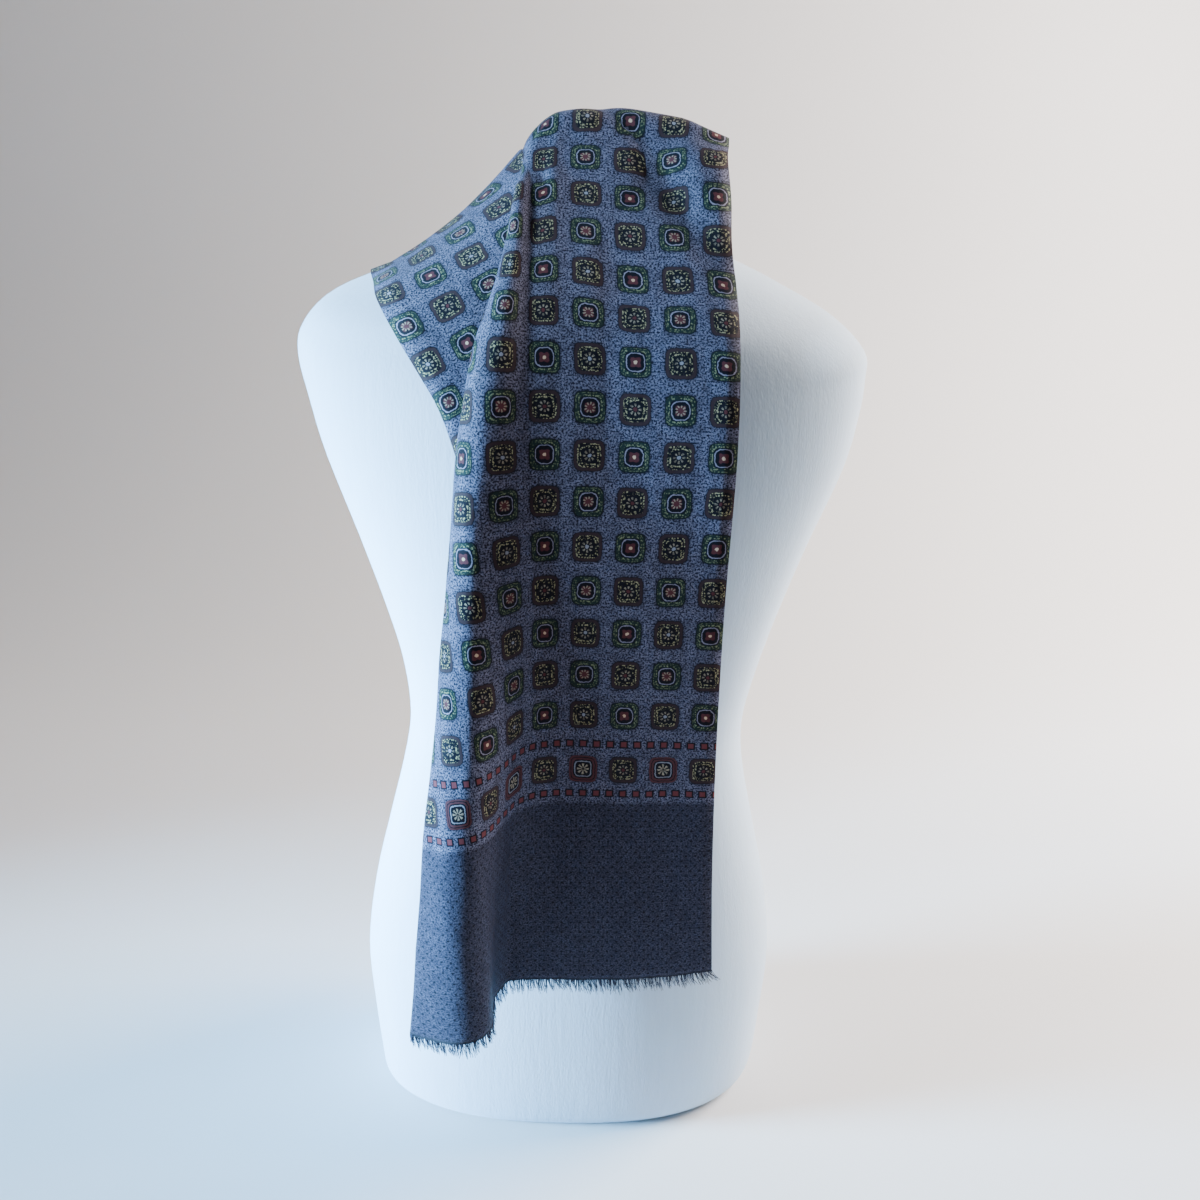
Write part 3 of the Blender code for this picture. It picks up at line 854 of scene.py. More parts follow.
@dataclass(frozen=True)
class FoulardFinish:
    """Printed fine twill: mottled blue ground with rounded-square foulard motifs."""

    repeat: Repeat = Repeat()
    palette: Palette = Palette()
    green: GreenMotif = GreenMotif()
    brown: BrownMotif = BrownMotif()
    red: RedMotif = RedMotif()
    mottle_scale: float = 7.2
    mottle_edge: Edge = Edge(0.39, 0.61)
    cloud_scale: float = 1.1
    cloud_edge: Edge = Edge(0.25, 0.75)
    cloud_share: float = 0.50
    cloud_floor: float = 0.65
    # End panels: the calmer mottle is the print, their lower tone is painted shade.
    plain_share: float = 0.32
    plain_floor: float = 0.04
    fleck_scale: float = 6.0
    fleck_edge: Edge = Edge(0.16, 0.08)
    fleck_share: float = 0.8
    speck_scale: float = 7.6
    speck_edge: Edge = Edge(0.56, 0.38)
    gap_scale: float = 4.5
    gap_edge: Edge = Edge(0.30, 0.48)
    radius_fray: float = 1.3
    inside_edge: Edge = Edge(-0.015, 0.02)
    halo_edge: Edge = Edge(-0.20, 0.02)
    halo_share: float = 0.45
    dot_share: float = 0.95
    # Near both hems the cloth is darkened: partly the darker frayed hem, partly painted shade that hides the
    # lit rim of the sheet.
    hem_shade_edge: Edge = Edge(0.32, 0.08)
    hem_shade_share: float = 0.75
    reverse_share: float = 0.55
    twill_pitch: float = 0.062
    twill_depth: float = 0.00006
    cockle_scale: float = 0.9
    cockle_stretch: tuple[float, float] = (0.8, 0.35)
    cockle_depth: float = 0.0012
    wear_scale: float = 3.0
    surface: Surface = Surface(
        roughness=0.47, specular=0.03, sheen=0.03, spread=0.10,
        sheen_tint=(0.75, 0.84, 1.0), sheen_roughness=0.45,
    )

    def _place(self, graph: Graph, across: Val, along: Val) -> ClothPlace:
        """Cloth coordinates, with the slight drift of a hand-hung print.

        Args:
            graph: The tree to build in.
            across: Centimetres from the shoulder selvage.
            along: Centimetres from the front hem.

        Returns:
            The place on the cloth.
        """
        repeat = self.repeat
        flat = graph.vector(across, along, 0.0)
        other = graph.vector(along, across, 3.0)
        drift_across = graph.noise(flat, repeat.drift_scale, 1.0) - 0.5
        drift_along = graph.noise(other, repeat.drift_scale, 1.0) - 0.5
        across = across + drift_across * repeat.drift
        along = along + drift_along * repeat.drift
        from_end = along.low(along * -1.0 + repeat.total_length)
        return ClothPlace(flat, across, along, from_end, repeat.plain_edge.mask(from_end))

    def _ground(self, graph: Graph, place: ClothPlace) -> bpy.types.NodeSocket:
        """Mottled ground, calmer in the end panel and darkened there as painted shade.

        Args:
            graph: The tree to build in.
            place: Where the point lies on the cloth.

        Returns:
            The ground's colour.
        """
        palette = self.palette
        fine = graph.noise(place.flat, self.mottle_scale, 2.0, 0.65)
        wide = graph.noise(place.flat, self.cloud_scale, 2.0)
        cloud = self.cloud_edge.mask(wide) * self.cloud_share + self.cloud_floor
        tone = self.mottle_edge.mask(fine) * cloud
        # Calmer mottle in the end panels, with a lower tone that is painted shade.
        calm_and_shaded = tone * self.plain_share + self.plain_floor
        tone = tone + (calm_and_shaded - tone) * place.plain
        colour = graph.mix(tone, palette.ground_dark, palette.ground_light)
        flecks = self.fleck_edge.mask(graph.cells(place.flat, self.fleck_scale)) * place.plain.inverse()
        return graph.mix(flecks * self.fleck_share, colour, palette.black)

    def _motifs(self, graph: Graph, place: ClothPlace, ground: bpy.types.NodeSocket) -> bpy.types.NodeSocket:
        """Lay the field's and the border's motifs on the ground.

        Args:
            graph: The tree to build in.
            place: Where the point lies on the cloth.
            ground: Colour under the motifs.

        Returns:
            The colour with the motifs.
        """
        repeat, palette = self.repeat, self.palette
        in_field = place.from_end.over(repeat.field_start)
        column = (place.across - repeat.column_start) / repeat.column_pitch
        column_number = column.nearest()
        x = (column - column_number) * repeat.column_pitch
        row = (place.along - repeat.row_start) / repeat.row_pitch
        row_number = row.nearest()
        field_y = (row - row_number) * repeat.row_pitch
        border_y = place.from_end - repeat.border_row
        y = border_y + (field_y - border_y) * in_field
        wide = (abs(x) / repeat.half_width).power(repeat.squareness)
        tall = (abs(y) / repeat.half_height).power(repeat.squareness)
        fray = (graph.noise(place.flat, repeat.fray_scale, 1.5, 0.6) - 0.5) * repeat.fray
        reach = (wide + tall).power(1.0 / repeat.squareness)
        specks = self.speck_edge.mask(graph.cells(place.flat, self.speck_scale))
        gaps = self.gap_edge.mask(graph.noise(place.flat, self.gap_scale, 1.0))
        motif_place = MotifPlace(
            inset=reach.inverse() * repeat.half_width + fray,
            radius=(x * x + y * y).root() + fray * self.radius_fray,
            turn=y.angle(x),
            speck=specks * gaps,
        )
        odd_column, odd_row = column_number.odd(), row_number.odd()
        green = self.green.colour(graph, motif_place, palette, odd_row)
        brown = self.brown.colour(graph, motif_place, palette, odd_row.inverse())
        red = self.red.colour(graph, motif_place, palette)
        field_motif = graph.mix(abs(odd_column - odd_row), brown, green)
        border_motif = graph.mix(odd_column, red, brown)
        motif = graph.mix(in_field, border_motif, field_motif)
        limit = in_field.high(repeat.border_reach.mask(abs(border_y)))
        limit = limit * place.from_end.over(repeat.motifs_start)
        halo = self.halo_edge.mask(motif_place.inset) * limit
        inside = self.inside_edge.mask(motif_place.inset) * limit
        colour = graph.mix(halo * self.halo_share, ground, palette.black)
        return graph.mix(inside, colour, motif)

    def _squares(self, graph: Graph, place: ClothPlace, under: bpy.types.NodeSocket) -> bpy.types.NodeSocket:
        """Lay the two lines of small red squares that edge the border.

        Args:
            graph: The tree to build in.
            place: Where the point lies on the cloth.
            under: Colour under the squares.

        Returns:
            The colour with the squares.
        """
        repeat, palette = self.repeat, self.palette
        pitch = repeat.column_pitch / repeat.squares_per_column
        half = repeat.square_half
        number = (place.across - repeat.column_start) / pitch
        x = abs((number - number.nearest()) * pitch)
        upper = abs(place.from_end - repeat.upper_squares)
        lower = abs(place.from_end - repeat.lower_squares)
        reach = x.high(upper.low(lower))
        colour = graph.mix(repeat.square_halo.moved(half).mask(reach), under, palette.black)
        return graph.mix(repeat.square_edge.moved(half).mask(reach), colour, palette.red)

    def _dot(self, column: Val, row: Val) -> Val:
        """Distance to the nearest pin dot of one set.

        Args:
            column: Cloth position in dot columns.
            row: Cloth position in dot rows.

        Returns:
            Distance in centimetres.
        """
        x = (column - column.nearest()) * self.repeat.dot_pitch_across
        y = (row - row.nearest()) * self.repeat.dot_pitch_along
        return (x * x + y * y).root()

    def _dots(self, across: Val, along: Val, plain: Val) -> Val:
        """Staggered pin dots of the end panel.

        Args:
            across: Centimetres from the shoulder selvage.
            along: Centimetres from the front hem.
            plain: 1 in the end panels.

        Returns:
            1 in a dot, else 0.
        """
        repeat = self.repeat
        row = along / repeat.dot_pitch_along
        column = across / repeat.dot_pitch_across
        near = self._dot(column, row).low(self._dot(column + 0.5, row + 0.5))
        return repeat.dot_edge.moved(repeat.dot_radius).mask(near) * plain * self.dot_share

    def _relief(self, graph: Graph, across: Val, along: Val) -> bpy.types.NodeSocket:
        """Fine twill lines over a soft cockle.

        Args:
            graph: The tree to build in.
            across: Centimetres from the shoulder selvage.
            along: Centimetres from the front hem.

        Returns:
            The surface normal.
        """
        twill = ((across + along) * (2.0 * math.pi / self.twill_pitch)).cosine() * 0.5 + 0.5
        stretched = graph.vector(across * self.cockle_stretch[0], along * self.cockle_stretch[1], 0.0)
        cockle = graph.bump(graph.noise(stretched, self.cockle_scale, 3.0), self.cockle_depth)
        return graph.bump(twill, self.twill_depth, cockle)

    def make(self) -> bpy.types.Material:
        """Build the printed cloth material.

        Returns:
            The material, which reads the mesh attribute cloth_place.
        """
        palette = self.palette
        graph = Graph("printed_twill")
        across, along, side = graph.attribute("cloth_place")
        place = self._place(graph, across, along)
        colour = self._ground(graph, place)
        colour = self._motifs(graph, place, colour)
        colour = self._squares(graph, place, colour)
        colour = graph.mix(self._dots(across, along, place.plain), colour, palette.black)
        # Darker hems: partly the frayed hem, partly painted shade over the lit rim of the sheet.
        colour = graph.mix(self.hem_shade_edge.mask(place.from_end) * self.hem_shade_share, colour, palette.black)
        colour = graph.mix(side * self.reverse_share, colour, palette.reverse)
        wear = graph.noise(place.flat, self.wear_scale, 2.0)
        return graph.finish(colour, self._relief(graph, across, along), self.surface, wear)


@dataclass(frozen=True)
class JerseyFinish:
    """White jersey over a smooth body, its colours tinted blue as painted light."""

    # The blue tint of base and shade is painted light: it stands in for the blue window light on the white
    # cover.
    base: Colour = (0.570, 0.715, 0.865)
    shade: Colour = (0.510, 0.650, 0.805)
    streak_scale: float = 190.0
    streak_stretch: float = 0.10
    streak_edge: Edge = Edge(0.35, 0.65)
    streak_share: float = 0.35
    streak_height: float = 0.7
    knit_scale: float = 620.0
    knit_stretch: float = 0.35
    knit_share: float = 0.2
    knit_height: float = 0.5
    broad_scale: float = 9.0
    broad_edge: Edge = Edge(0.3, 0.7)
    broad_share: float = 0.35
    relief_depth: float = 0.00025
    surface: Surface = Surface(
        roughness=0.74, specular=0.25, sheen=0.25, spread=0.08,
        sheen_tint=(0.9, 0.95, 1.0), sheen_roughness=0.5,
    )

    def make(self) -> bpy.types.Material:
        """Build the jersey material.

        Returns:
            The material.
        """
        graph = Graph("white_jersey")
        place = graph.add("ShaderNodeTexCoord").outputs["Object"]
        x, y, z = graph.split(place)
        streak = graph.noise(graph.vector(x, y, z * self.streak_stretch), self.streak_scale, 3.0, 0.6)
        knit = graph.noise(graph.vector(x, y, z * self.knit_stretch), self.knit_scale, 1.0)
        broad = graph.noise(place, self.broad_scale, 2.0)
        tone = self.streak_edge.mask(streak) * self.streak_share
        tone = tone + self.broad_edge.mask(broad) * self.broad_share + knit * self.knit_share
        colour = graph.mix(tone, self.base, self.shade)
        normal = graph.bump(streak * self.streak_height + knit * self.knit_height, self.relief_depth)
        return graph.finish(colour, normal, self.surface, broad)


@dataclass(frozen=True)
class ThreadFinish:
    """Loose navy threads, a few of them paler."""

    dark: Colour = (0.016, 0.018, 0.035)
    pale: Colour = (0.110, 0.135, 0.215)
    pale_edge: Edge = Edge(0.55, 1.0)
    ply_turn: float = 60.0
    ply_share: float = 0.25
    ply_depth: float = 0.00008
    surface: Surface = Surface(
        roughness=0.62, specular=0.15, sheen=0.12, sheen_tint=(0.6, 0.72, 1.0), sheen_roughness=0.4
    )

    def make(self) -> bpy.types.Material:
        """Build the thread material.

        Returns:
            The material, which reads the mesh attribute thread_tone.
        """
        graph = Graph("fringe_thread")
        tone, along, _ = graph.attribute("thread_tone")
        ply = (along * self.ply_turn).cosine() * 0.5 + 0.5
        colour = graph.mix(self.pale_edge.mask(tone), self.dark, self.pale)
        colour = graph.mix(ply * self.ply_share, colour, self.dark)
        normal = graph.bump(ply, self.ply_depth)
        return graph.finish(colour, normal, self.surface)


@dataclass(frozen=True)
class FloorFinish:
    """Pale matt floor with faint clouds."""

    base: Colour = (0.70, 0.71, 0.72)
    cloud: Colour = (0.74, 0.75, 0.77)
    cloud_scale: float = 1.4
    cloud_share: float = 0.15
    grain_scale: float = 60.0
    grain_depth: float = 0.0001
    surface: Surface = Surface(roughness=0.85, specular=0.2)

    def make(self) -> bpy.types.Material:
        """Build the floor material.

        Returns:
            The material.
        """
        graph = Graph("pale_floor")
        place = graph.add("ShaderNodeTexCoord").outputs["Object"]
        cloud = graph.noise(place, self.cloud_scale, 2.0) * self.cloud_share
        colour = graph.mix(cloud, self.base, self.cloud)
        normal = graph.bump(graph.noise(place, self.grain_scale, 2.0), self.grain_depth)
        return graph.finish(colour, normal, self.surface)


# Dress form.

@dataclass
class DressForm:
    """Limbless dress form with a flat base and a slanted neck cap."""

    segments: int = 120
    steps: int = 5
    squareness: float = 2.4
    neck_squareness: float = 2.0
    neck_from: float = 18.0
    rim_share: float = 0.97
    rim_rise: float = 0.6
    cap_share: float = 0.9
    cap_rings: tuple[float, ...] = (0.7, 0.45, 0.2)
    cap_rise: float = 0.0015
    cap_dome: float = 0.003
    piece: Union[bpy.types.Object, None] = field(default=None, init=False)

    def _ring(self, row: np.ndarray, number: float) -> np.ndarray:
        """Points of one ring.

        Args:
            row: Height, centre x and y, half width, front and back depth, tilt and roll.
            number: Place of the ring in the table.

        Returns:
            Points in metres.
        """
        height, middle, centre, half_width, front, back, tilt, roll = row
        share = min(max(number - self.neck_from + 1.0, 0.0), 1.0)
        power = 2.0 / (self.squareness + (self.neck_squareness - self.squareness) * share)
        lean = math.radians(tilt)
        turn = np.linspace(0.0, 2.0 * math.pi, self.segments, endpoint=False)
        side, along = np.cos(turn), np.sin(turn)
        x = half_width * np.sign(side) * np.abs(side) ** power
        y = np.where(along > 0, back, front) * np.sign(along) * np.abs(along) ** power
        rise = y * math.sin(lean) - x * math.sin(math.radians(roll))
        return np.stack((middle + x, centre + y * math.cos(lean), height + rise), axis=1) * CM

    def _cap(self, rim: np.ndarray) -> list[np.ndarray]:
        """Rings that close the neck with a low dome.

        Args:
            rim: Points of the top ring, in metres.

        Returns:
            The cap's rings, from the rim inwards.
        """
        height, _, centre, *_, tilt, _ = FORM_TABLE[-1]
        lean = math.radians(tilt)
        up = np.array((0.0, -math.sin(lean), math.cos(lean)))
        middle = np.array((0.0, centre * CM, height * CM))
        dome = self.cap_dome - self.cap_rise
        steps = [(self.rim_share, self.cap_rise * self.rim_rise), (self.cap_share, self.cap_rise)]
        steps += [(share, self.cap_rise + dome * (1.0 - share / self.cap_share)) for share in self.cap_rings]
        return [middle + (rim - middle) * share + up * rise for share, rise in steps]

    def build(self) -> bpy.types.Object:
        """Make the smooth body in place of its faceted solid.

        Returns:
            The form's object.
        """
        keyed = tuple((float(i), *row) for i, row in enumerate(FORM_TABLE))
        last = len(FORM_TABLE) - 1
        places = np.linspace(0.0, last, last * self.steps + 1)
        rings = [self._ring(smooth_rows(keyed, place), place) for place in places]
        rings.extend(self._cap(rings[-1]))
        count = self.segments
        faces: list[tuple[int, ...]] = []
        for ring in range(len(rings) - 1):
            for corner in range(count):
                a, b = ring * count + corner, ring * count + (corner + 1) % count
                faces.append((a, b, b + count, a + count))
        faces.append(tuple((len(rings) - 1) * count + corner for corner in range(count)))
        faces.append(tuple(range(count - 1, -1, -1)))
        self.piece = new_piece("form_body", np.concatenate(rings), faces)
        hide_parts("dress_form")
        return self.piece

    def tree(self) -> BVHTree:
        """Search tree of the form's surface.

        Returns:
            The tree.
        """
        mesh = self.piece.data
        corners = [vertex.co.copy() for vertex in mesh.vertices]
        return BVHTree.FromPolygons(corners, [tuple(face.vertices) for face in mesh.polygons])

    def dress(self) -> None:
        """Give the form its cover and log its size."""
        self.piece.data.materials.append(JerseyFinish().make())
        report(self.piece)


# Scarf and its fringes.

@dataclass(frozen=True)
class Crease:
    """A soft trough or ridge, in centimetres of flat cloth; a depth over 0 stands out."""

    start: tuple[float, float]
    end: tuple[float, float]
    width: float
    depth: float
    fade_power: float = 0.7

    def height(self, across: np.ndarray, along: np.ndarray) -> np.ndarray:
        """Height that the crease adds.

        Args:
            across: Cloth positions across.
            along: Cloth positions along.

        Returns:
            Heights in centimetres, negative in a trough.
        """
        ax, ay = self.start
        bx, by = self.end
        size = math.hypot(bx - ax, by - ay)
        ux, uy = (bx - ax) / size, (by - ay) / size
        run = (across - ax) * ux + (along - ay) * uy
        off = (across - ax) * -uy + (along - ay) * ux
        share = np.clip(run / size, 0.0, 1.0)
        fade = np.sin(math.pi * share) ** self.fade_power
        return self.depth * fade * np.exp(-((off / self.width) ** 2)) * ((run > 0) & (run < size))


@dataclass(frozen=True)
class Ripple:
    """Faint waviness of light cloth, in centimetres of flat cloth."""

    depth: float = 0.035
    across_turn: float = 1.7
    slant_turn: float = 0.21
    along_turn: float = 0.33
    along_start: float = 1.3

    def height(self, across: np.ndarray, along: np.ndarray) -> np.ndarray:
        """Height that the waviness adds.

        Args:
            across: Cloth positions across.
            along: Cloth positions along.

        Returns:
            Heights in centimetres.
        """
        slanted = np.sin(across * self.across_turn + along * self.slant_turn)
        return self.depth * slanted * np.sin(along * self.along_turn + self.along_start)


@dataclass
class Scarf:
    """The scarf as one thin sheet from its front hem over the neck to its back hem."""

    width: float = 0.298
    length: float = 1.42
    thickness: float = 0.0007
    clearance: float = 0.0022
    rows: int = 300
    row_crowding: float = 0.035
    span_steps: tuple[int, ...] = (9, 9, 9, 9, 9, 9, 10, 11, 12, 12, 12, 10)
    flat_positions: tuple[float, ...] = (29.8, 26.6, 23.2, 19.8, 16.5)
    sink_from: float = 20.5
    trough_position: float = 23.2
    sag_power: float = 1.5
    turn_width: float = 0.9
    turn_width_share: float = 0.3
    turn_depth: float = 0.9
    turn_depth_share: float = 0.45
    turn_reach: float = 0.18
    turn_reach_opened: float = 0.32
    fold_depth: float = 0.35
    fold_spread: float = 0.1
    fold_shift_opened: float = 0.15
    fold_spread_opened: float = 0.5
    pleat_opens: tuple[float, float] = (69.0, 76.0)
    ripple: Ripple = Ripple()
    creases: tuple[Crease, ...] = (
        Crease((18.8, 75.5), (29.6, 58.6), 1.15, -0.52),
        Crease((17.3, 75.5), (17.1, 55.0), 0.85, 0.26),
        Crease((26.2, 75.0), (28.8, 60.5), 1.2, 0.26),
        Crease((21.2, 64.0), (20.4, 38.0), 1.0, -0.10),
        Crease((25.2, 57.0), (24.0, 30.0), 1.2, 0.10),
        Crease((17.6, 54.0), (17.0, 26.0), 0.9, -0.12),
        Crease((16.2, 74.0), (14.9, 38.0), 0.85, -0.30),
        Crease((14.5, 72.0), (13.1, 40.0), 0.75, 0.14),
        Crease((21.0, 34.0), (23.5, 12.0), 1.6, 0.10),
        Crease((26.0, 26.0), (27.2, 2.0), 1.4, -0.10),
        Crease((19.5, 20.0), (18.2, 1.0), 1.2, 0.12),
        Crease((13.1, -5.0), (13.7, 19.0), 0.55, -0.30),
        Crease((14.0, 58.0), (6.8, 8.0), 1.2, 0.30),
        Crease((11.9, 58.0), (2.6, 8.0), 1.2, -0.24),
        Crease((24.0, 78.0), (21.5, 112.0), 1.2, -0.22),
        Crease((18.0, 92.0), (19.5, 134.0), 1.3, 0.20),
        Crease((27.0, 84.0), (26.0, 122.0), 1.3, 0.16),
    )
    piece: Union[bpy.types.Object, None] = field(default=None, init=False)
    middle: Union[np.ndarray, None] = field(default=None, init=False)

    def _outward(self, length: float) -> np.ndarray:
        """Direction square to the path of the cloth, away from the form.

        Args:
            length: Centimetres from the front hem.

        Returns:
            A unit vector.
        """
        before = smooth_rows(PATH_TABLE, length - 0.5)
        after = smooth_rows(PATH_TABLE, length + 0.5)
        along_y, along_z = after - before
        size = math.hypot(along_y, along_z)
        return np.array((0.0, -along_z / size, along_y / size))

    def _hanging_side(self, length: float, outward: np.ndarray) -> list[tuple[float, ...]]:
        """Control points from the flat selvage to the edge of the roll.

        Args:
            length: Centimetres from the front hem.
            outward: Direction away from the form.

        Returns:
            Rows of x, y, z and cloth position, in centimetres.
        """
        path_y, path_z = smooth_rows(PATH_TABLE, length)
        middle_x, selvage_x, sink, crown, trough = smooth_rows(SELVAGE_TABLE, length)
        edge, *roll, sag = smooth_rows(ROLL_TABLE, length)
        first, last = self.flat_positions[0], self.flat_positions[-1]
        rows: list[tuple[float, ...]] = []
        for place in self.flat_positions:
            share = (place - last) / (first - last)
            low = sink * max(0.0, (place - self.sink_from) / (first - self.sink_from)) ** 2
            low += crown * max(0.0, (self.sink_from - place) / (self.sink_from - last)) ** 2
            low += trough * (place == self.trough_position)
            rows.append((middle_x + share * (selvage_x - middle_x), path_y, path_z - low, place))
        points = list(zip(roll[0::2], roll[1::2]))
        for number, (x, out) in enumerate(points, start=1):
            share = number / len(points)
            height = path_z - crown - sag * share**self.sag_power
            point = np.array((x, path_y, height)) + out * outward
            rows.append((*point, last + share * (edge - last)))
        return rows

    def _shoulder_side(
        self, length: float, outward: np.ndarray, rim_row: Sequence[float]
    ) -> list[tuple[float, ...]]:
        """Control points from under the turned edge to the selvage on the shoulder.

        Args:
            length: Centimetres from the front hem.
            outward: Direction away from the form.
            rim_row: Control point at the edge of the roll.

        Returns:
            Rows of x, y, z and cloth position, in centimetres.
        """
        inner, *shoulder = smooth_rows(SHOULDER_TABLE, length)
        fold, middle, selvage = np.array(shoulder).reshape(3, 3)
        rim, edge = np.array(rim_row[:3]), rim_row[3]
        start, end = self.pleat_opens
        share = min(max((length - start) / (end - start), 0.0), 1.0)
        opened = share * share * (3.0 - 2.0 * share)
        spare = edge - inner
        depth = min(self.turn_depth, self.turn_depth_share * spare) * (1.0 - opened)
        reach = self.turn_reach + self.turn_reach_opened * opened
        turn = rim - depth * outward + reach * (fold - rim)
        half = 0.5 * self.fold_depth * (1.0 - opened)
        behind = fold - half * outward + self.fold_shift_opened * opened * (middle - fold)
        return [
            (*turn, edge - min(self.turn_width, self.turn_width_share * spare)),
            (*(fold + half * outward), inner + self.fold_spread),
            (*behind, inner - self.fold_spread - self.fold_spread_opened * opened),
            (*middle, 0.5 * inner),
            (*selvage, 0.0),
        ]

    def control_row(self, length: float) -> np.ndarray:
        """Control points of one cross row of the cloth.

        Args:
            length: Centimetres from the front hem.

        Returns:
            Rows of x, y, z and cloth position, in centimetres.
        """
        outward = self._outward(length)
        rows = self._hanging_side(length, outward)
        rows.extend(self._shoulder_side(length, outward, rows[-1]))
        return np.array(rows)

    def _places(self) -> list[float]:
        """Places of the mesh columns along the spline.

        Returns:
            The places, in spans.
        """
        places = [0.0]
        for span, steps in enumerate(self.span_steps):
            places.extend(span + (i + 1) / steps for i in range(steps))
        return places

    @staticmethod
    def _normals(grid: np.ndarray) -> np.ndarray:
        """Unit normals of a grid of points, away from the form."""
        normal = np.cross(np.gradient(grid, axis=0), np.gradient(grid, axis=1))
        return normal / np.linalg.norm(normal, axis=2, keepdims=True)

    def _lengths(self) -> np.ndarray:
        """Cloth lengths of the mesh rows, closer together over the neck."""
        even = np.linspace(0.0, 1.0, self.rows)
        return (even + self.row_crowding * np.sin(2.0 * math.pi * even)) * (self.length / CM)

    def _middle_grid(self, tree: BVHTree) -> tuple[np.ndarray, np.ndarray]:
        """Middle surface and cloth coordinates.

        Args:
            tree: Search tree of the dress form.

        Returns:
            Points in metres and (across, along) in centimetres, both rows x columns.
        """
        lengths = self._lengths()
        controls = np.array([self.control_row(length) for length in lengths])
        weights = np.array([spline_weights(controls.shape[1], place) for place in self._places()])
        rows = np.array([weights @ control for control in controls])
        grid, across = rows[..., :3] * CM, rows[..., 3]
        along = np.repeat(lengths[:, None], across.shape[1], axis=1)
        height = sum(crease.height(across, along) for crease in self.creases)
        height = height + self.ripple.height(across, along)
        grid = grid + self._normals(grid) * (height * CM)[..., None]
        for row in grid:
            for point in row:
                near, normal, _, gap = tree.find_nearest(Vector(point))
                if (Vector(point) - near).dot(normal) < 0.0 or gap < self.clearance:
                    point[:] = near + normal * self.clearance
        return grid, np.stack((across, along), axis=2)

    @staticmethod
    def _faces(rows: int, columns: int) -> list[Sequence[int]]:
        """Faces of both sides of the sheet and of its rim.

        Args:
            rows: Rows of points on a side.
            columns: Points in a row.

        Returns:
            Vertex numbers; the second side's follow the first's.
        """
        size = rows * columns
        a = (np.arange(rows - 1)[:, None] * columns + np.arange(columns - 1)).ravel()
        quads = np.stack((a, a + columns, a + columns + 1, a + 1), axis=1)
        faces = np.concatenate((quads, quads[:, ::-1] + size)).tolist()
        rim = list(range(columns)) + [r * columns + columns - 1 for r in range(1, rows)]
        rim += [(rows - 1) * columns + c for c in range(columns - 2, -1, -1)]
        rim += [r * columns for r in range(rows - 2, 0, -1)]
        for first, second in zip(rim, rim[1:] + rim[:1]):
            faces.append((first, second, second + size, first + size))
        return faces

    def build(self, tree: BVHTree) -> bpy.types.Object:
        """Make the sheet with both faces and its rim.

        Args:
            tree: Search tree of the dress form.

        Returns:
            The scarf's object.
        """
        self.middle, place = self._middle_grid(tree)
        offset = 0.5 * self.thickness * self._normals(self.middle)
        points = np.stack((self.middle + offset, self.middle - offset)).reshape(-1, 3)
        self.piece = new_piece("scarf_sheet", points, self._faces(*place.shape[:2]))
        flat = place.reshape(-1, 2)
        both = [np.column_stack((flat, np.full(len(flat), side.value))) for side in Side]
        add_attribute(self.piece, "cloth_place", np.concatenate(both))
        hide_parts("scarf_front_fall", "scarf_back_fall")
        return self.piece

    def dress(self) -> None:
        """Print the cloth and log its size."""
        self.piece.data.materials.append(FoulardFinish().make())
        report(self.piece)


